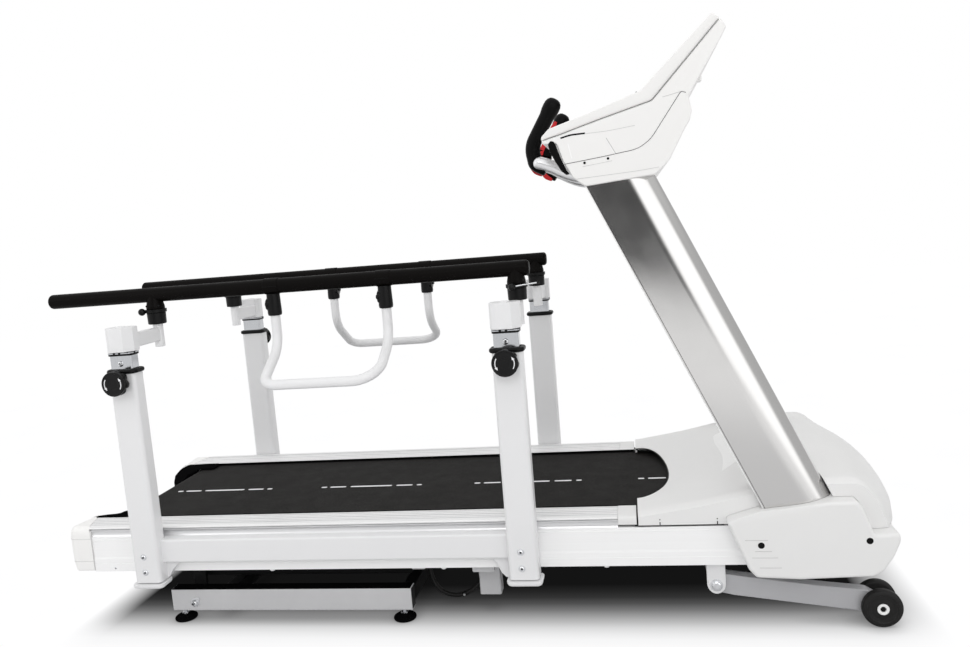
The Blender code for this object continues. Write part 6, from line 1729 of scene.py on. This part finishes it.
def make_lift():
    lb = "lift_arm_body"
    px, pz = X(ARM_PIVOT[0]), ARM_PIVOT[1]
    ax, az = X(ARM_AXLE[0]), ARM_AXLE[1]
    for side in (-1, 1):
        sn = side_name(side)
        pts = [(px - 0.020, pz - 0.010), (px - 0.006, pz - 0.024), (px + 0.045, pz - 0.036), (px + 0.360, pz - 0.080),
               (ax - 0.004, az - 0.018), (ax + 0.012, az - 0.014), (ax + 0.018, az), (ax + 0.012, az + 0.014),
               (ax - 0.030, az + 0.041), (px + 0.260, pz - 0.011), (px + 0.010, pz + 0.024), (px - 0.014, pz + 0.018)]
        pts = round_poly(pts, [0.010, 0.010, 0.05, 0.05, 0.008, 0.008, 0.010, 0.008, 0.02, 0.05, 0.010, 0.010], 4)
        put(pillow_prism("lift_bar_" + sn, pts, "y", side * 0.3160, side * 0.3500, 0.0028, "arm_grey", 3), lb, "grey_paint",
            "front_lift_arm")
        put(lathe("lift_pin_" + sn, [(0, 0.3450), (0.0080, 0.3450), (0.0080, 0.3590), (0, 0.3590)], (px, 0, pz),
                  "y" if side > 0 else "-y", 28, "zinc"), lb, "bare_steel", "front_lift_arm")
        # twin castor wheel: tyres, hub and bright ring
        wb = "wheel_%s_body" % sn
        wn = "wheel_" + sn
        axis = "y" if side > 0 else "-y"
        t1 = soft_profile([(0.0090, 0.3512), (0.0430, 0.3512), (0.0475, 0.3530), (0.0500, 0.3570), (0.0500, 0.3690),
                           (0.0475, 0.3732), (0.0430, 0.3752), (0.0370, 0.3755), (0.0350, 0.3735), (0.0270, 0.3715),
                           (0.0160, 0.3722), (0.0150, 0.3735), (0.0090, 0.3735)], 0.0016, 4)
        put(lathe("castor_outer_" + sn, t1 + [t1[0]], (ax, 0, az), axis, 64, "rubber"), wb, "black_rubber", wn)
        t2 = soft_profile([(0.0090, 0.2920), (0.0430, 0.2905), (0.0475, 0.2925), (0.0500, 0.2970), (0.0500, 0.3090),
                           (0.0475, 0.3135), (0.0430, 0.3150), (0.0090, 0.3150)], 0.0016, 4)
        put(lathe("castor_inner_" + sn, t2 + [t2[0]], (ax, 0, az), axis, 64, "rubber"), wb, "black_rubber", wn)
        put(lathe("castor_axle_" + sn, soft_profile([(0, 0.2930), (0.0088, 0.2930), (0.0088, 0.3700), (0, 0.3700)], 0.0006),
                  (ax, 0, az), axis, 32, "steel"), wb, "bare_steel", wn)
        hub = soft_profile([(0.0068, 0.3700), (0.0140, 0.3700), (0.0149, 0.3735), (0.0142, 0.3752), (0.0110, 0.3758),
                            (0.0078, 0.3745), (0.0068, 0.3715)], 0.0006, 3)
        put(lathe("castor_hub_" + sn, hub + [hub[0]], (ax, 0, az), axis, 40, "lightline"), wb, "bare_steel", wn)
        put(lathe("castor_bolt_" + sn, soft_profile([(0, 0.3690), (0.0066, 0.3690), (0.0066, 0.3728), (0.0050, 0.3740),
                                                    (0, 0.3742)], 0.0005), (ax, 0, az), axis, 6, "black", 20), wb,
            "bare_steel", wn)
    put(lathe("lift_shaft", soft_profile([(0, -0.3300), (0.0190, -0.3300), (0.0190, 0.3300), (0, 0.3300)], 0.001), (px, 0, pz),
              "y", 40, "grey"), lb, "grey_paint", "front_lift_arm")
    put(pillow_prism("lift_cross", round_rect(px + 0.185, pz - 0.034, 0.030, 0.028, 0.004, 4), "y", -0.322, 0.322, 0.001, "grey"),
        lb, "grey_paint", "front_lift_arm")
    lx, lz = -0.0239, 0.0658
    lev = round_poly([(px - 0.012, pz), (px + 0.012, pz), (px + lx + 0.0085, pz + lz + 0.003), (px + lx, pz + lz + 0.0085),
                      (px + lx - 0.0085, pz + lz)], 0.005)
    put(prism("lift_lever", lev, "y", -0.0050, 0.0050, "grey", 0.0010), lb, "grey_paint", "front_lift_arm")
    put(lathe("lift_lever_pin", [(0, -0.0140), (0.0050, -0.0140), (0.0050, 0.0140), (0, 0.0140)], (px + lx, 0, pz + lz), "y", 24,
              "zinc"), lb, "bare_steel", "front_lift_arm")


def make_cable():
    ys = -0.205
    a = [(X(1.052), ys, 0.1590), (X(1.050), ys, 0.1450), (X(1.046), ys, 0.1220), (X(1.047), ys - 0.004, 0.0960),
         (X(1.056), ys - 0.008, 0.0640), (X(1.073), ys - 0.010, 0.0400), (X(1.097), ys - 0.010, 0.0255),
         (X(1.125), ys - 0.010, 0.0215), (X(1.153), ys - 0.010, 0.0280), (X(1.181), ys - 0.010, 0.0450),
         (X(1.204), ys - 0.008, 0.0690), (X(1.219), ys - 0.004, 0.0970), (X(1.226), ys, 0.1230),
         (X(1.228), ys, 0.1350), (X(1.228), ys, 0.1495)]
    pts = [Vector(p) for p in a]
    out = []
    for i in range(len(pts) - 1):
        p0, p1, p2, p3 = pts[max(0, i - 1)], pts[i], pts[i + 1], pts[min(len(pts) - 1, i + 2)]
        for k in range(5):
            t = k / 5.0
            out.append(0.5 * ((2 * p1) + (p2 - p0) * t + (2 * p0 - 5 * p1 + 4 * p2 - p3) * t * t +
                              (3 * p1 - p0 - 3 * p2 + p3) * t ** 3))
    out.append(pts[-1])
    put(tube("control_lead", out, 0.0068, 20, "rubber"), ROOT, "black_rubber", "cable_loop")
    mid = min(range(len(out)), key=lambda i: (out[i] - Vector((X(1.146), -0.215, 0.026))).length)
    put(tube("lead_tie", [out[mid - 1], out[mid], out[mid] + (out[mid] - out[mid - 1])], 0.0078, 20, "black"), ROOT,
        "black_plastic")
    put(box("lead_tie_head", out[mid].x - 0.003, out[mid].x + 0.003, -0.2255, -0.2205, out[mid].z - 0.003, out[mid].z + 0.003,
            "keys", 0.0008), ROOT, "black_plastic")
    for i, p in ((0, pts[0]), (1, pts[-1])):
        d = (pts[1] - pts[0]).normalized() if i == 0 else (pts[-2] - pts[-1]).normalized()
        put(lathe("lead_gland_%d" % (i + 1), soft_profile([(0, -0.001), (0.0115, -0.001), (0.0115, 0.0050), (0.0092, 0.0110),
                                                         (0.0072, 0.0160), (0, 0.0160)], 0.001), p, d, 28, "black"), ROOT,
            "black_plastic")


make_frame()
make_belt()
make_side_rails()
make_rear_caps()
make_stands()
make_rail_side(-1)
make_rail_side(1)
make_uprights_and_covers()
make_hood()
make_console()
make_base()
make_lift()
make_cable()

# ------------------------------------------------------------------ floor and light
bm = bmesh.new()
n = 96
cen = bm.verts.new((0, 0, 0))
ring_rows = []
for r in (1.0, 2.0, 3.2, 5.0, 8.0, 12.0):
    ring_rows.append([bm.verts.new((r * math.cos(2 * math.pi * k / n), r * math.sin(2 * math.pi * k / n), 0.0)) for k in range(n)])
for k in range(n):
    bm.faces.new((cen, ring_rows[0][k], ring_rows[0][(k + 1) % n]))
for a, b in zip(ring_rows, ring_rows[1:]):
    for k in range(n):
        bm.faces.new((a[k], b[k], b[(k + 1) % n], a[(k + 1) % n]))
me = bpy.data.meshes.new("studio_floor")
bm.to_mesh(me)
bm.free()
floor = bpy.data.objects.new("studio_floor", me)
COL.objects.link(floor)
# painted shadow under the machine: shade against distance from the machine's middle line
FLOOR_PAINTED_SHADOW = ((0.0, 0.007), (0.10, 0.007), (0.15, 0.018), (0.19, 0.034), (0.23, 0.081), (0.27, 0.181), (0.306, 0.33),
              (0.343, 0.50), (0.375, 0.69), (0.41, 0.83), (0.44, 0.92), (0.48, 0.96), (0.56, 1.0))
fm = bpy.data.materials.new("floor_white")
fm.use_nodes = True
N, L = fm.node_tree.nodes, fm.node_tree.links
tc = N.new("ShaderNodeTexCoord").outputs["Object"]
ln = N.new("ShaderNodeVectorMath")
ln.operation = "LENGTH"
L.new(tc, ln.inputs[0])
fade = _range(N, L, ln.outputs["Value"], 2.4, 3.6, 0.0, 1.0)
nz = _noise(N, L, tc, 3.0, 3.0)
tone = _mix(N, L, nz, (0.715, 0.715, 0.72), (0.73, 0.73, 0.735))
dif = N.new("ShaderNodeBsdfDiffuse")
L.new(tone, dif.inputs["Color"])
em = N.new("ShaderNodeEmission")
em.inputs["Color"].default_value = (1.0, 1.0, 1.0, 1.0)
em.inputs["Strength"].default_value = 1.0
mx = N.new("ShaderNodeMixShader")
L.new(fade, mx.inputs[0])
L.new(dif.outputs["BSDF"], mx.inputs[1])
L.new(em.outputs["Emission"], mx.inputs[2])
# what the viewer sees: pale studio floor with a painted shadow, a soft dark band under the machine
sepf = N.new("ShaderNodeSeparateXYZ")
L.new(tc, sepf.inputs[0])
half = _math(N, L, "MULTIPLY", _math(N, L, "ABSOLUTE", sepf.outputs[1], 0.0), 1.0 / 0.60)
band = N.new("ShaderNodeValToRGB")
L.new(half, band.inputs[0])
fr = band.color_ramp
fr.interpolation = "LINEAR"
for i, (w_, v_) in enumerate(FLOOR_PAINTED_SHADOW):
    e_ = fr.elements[0] if i == 0 else (fr.elements[len(fr.elements) - 1] if i == len(FLOOR_PAINTED_SHADOW) - 1 else
                                        fr.elements.new(w_ / 0.60))
    e_.position = w_ / 0.60
    e_.color = (v_, v_, v_, 1.0)
# the painted shadow fades out past both ends of the machine
ends = _math(N, L, "MULTIPLY", _range(N, L, sepf.outputs[0], X(-0.02), X(0.10), 0.0, 1.0),
             _range(N, L, sepf.outputs[0], X(2.25), X(2.42), 1.0, 0.0))
under = _math(N, L, "MULTIPLY", _math(N, L, "SUBTRACT", 1.0, band.outputs[0]), ends)
# painted contact shade near the feet and wheels, from ambient occlusion
ao = N.new("ShaderNodeAmbientOcclusion")
ao.samples = 16
ao.inputs["Distance"].default_value = 0.06
painted_contact_shade = _range(N, L, ao.outputs["AO"], 0.25, 0.92, 0.45, 1.0)
shade = _math(N, L, "MULTIPLY", _math(N, L, "SUBTRACT", 1.0, under), painted_contact_shade)
seen_col = _mix(N, L, nz, (0.985, 0.985, 0.99), (1.02, 1.02, 1.025))
seen = N.new("ShaderNodeEmission")
L.new(seen_col, seen.inputs["Color"])
L.new(shade, seen.inputs["Strength"])
pick = N.new("ShaderNodeMixShader")
L.new(N.new("ShaderNodeLightPath").outputs["Is Camera Ray"], pick.inputs[0])
L.new(mx.outputs["Shader"], pick.inputs[1])
L.new(seen.outputs["Emission"], pick.inputs[2])
L.new(pick.outputs["Shader"], N["Material Output"].inputs["Surface"])
me.materials.append(fm)


def area(name, loc, target, size, size_y, power, color=(1.0, 1.0, 1.0)):
    ld = bpy.data.lights.new(name, "AREA")
    ld.shape = "RECTANGLE"
    ld.size, ld.size_y = size, size_y
    ld.energy = power
    ld.color = color
    ob = bpy.data.objects.new(name, ld)
    COL.objects.link(ob)
    ob.location = loc
    ob.rotation_mode = "QUATERNION"
    ob.rotation_quaternion = (Vector(loc) - Vector(target)).to_track_quat("Z", "Y")
    ob.visible_camera = False
    return ob


area("softbox_top", (0.1, -0.5, 3.4), (0.1, 0.0, 0.2), 4.0, 2.4, 8)
area("softbox_left", (-3.2, -2.9, 2.4), (-0.2, 0.0, 0.6), 1.8, 1.6, 10)
area("softbox_front", (0.6, -4.2, 3.0), (0.2, 0.0, 0.4), 3.0, 1.4, 24)

world = bpy.data.worlds.new("studio")
bpy.context.scene.world = world
world.use_nodes = True
N, L = world.node_tree.nodes, world.node_tree.links
bg = N["Background"]
tcw = N.new("ShaderNodeTexCoord").outputs["Generated"]
sep = N.new("ShaderNodeSeparateXYZ")
L.new(tcw, sep.inputs[0])
# a white studio: dim where the viewer stands, a bright panel to the right of that
flip = _math(N, L, "MULTIPLY", sep.outputs[1], -1.0)
turn = _math(N, L, "ARCTAN2", sep.outputs[0], flip)
around = _range(N, L, turn, -math.pi, math.pi, 0.0, 1.0)
ring_ = N.new("ShaderNodeValToRGB")
L.new(around, ring_.inputs[0])
cr = ring_.color_ramp
cr.interpolation = "LINEAR"
LEVELS = ((-180, 0.85), (-120, 0.85), (-60, 0.80), (-14, 0.80), (-8, 0.06), (11, 0.06), (18, 1.5), (58, 1.5), (70, 0.58),
          (110, 0.56), (150, 0.52), (168, 0.80), (180, 0.85))
cr.elements[0].position = 0.0
cr.elements[1].position = 1.0
for i, (az, v) in enumerate(LEVELS):
    if i == 0:
        e_ = cr.elements[0]
    elif i == len(LEVELS) - 1:
        e_ = cr.elements[len(cr.elements) - 1]
    else:
        e_ = cr.elements.new((az + 180.0) / 360.0)
    e_.color = (v / 2.0, v / 2.0, v / 2.0, 1.0)
band = _math(N, L, "MULTIPLY", ring_.outputs[0], 2.0)
rise = _range(N, L, sep.outputs[2], 0.35, 0.60, 0.0, 0.88)
keep = _range(N, L, sep.outputs[2], 0.35, 0.60, 1.0, 0.0)
level = _math(N, L, "ADD", _math(N, L, "MULTIPLY", band, keep), rise)
lp = N.new("ShaderNodeLightPath")
seen_w = _math(N, L, "MAXIMUM", _math(N, L, "MULTIPLY", level, _range(N, L, lp.outputs["Is Camera Ray"], 0.0, 1.0, 1.0, 0.0)),
               lp.outputs["Is Camera Ray"])
L.new(seen_w, bg.inputs["Strength"])
bg.inputs["Color"].default_value = (1.0, 1.0, 1.0, 1.0)

vs = bpy.context.scene.view_settings
vs.view_transform = "Standard"
vs.look = "None"
vs.exposure = 0.0
vs.gamma = 1.0

for ob in list(COL.objects):
    if ob.type == "MESH" and ob.data is not None and ob is not floor and not ob.name.startswith(("deck_board", "front_roller",
                                                                                                  "rear_roller")):
        if ob.users_collection and any(s.material for s in ob.material_slots) and ob.name not in NODES:
            wn = ob.modifiers.new("shading", "WEIGHTED_NORMAL")
            wn.mode = "FACE_AREA"
            wn.weight = 50
            wn.keep_sharp = True
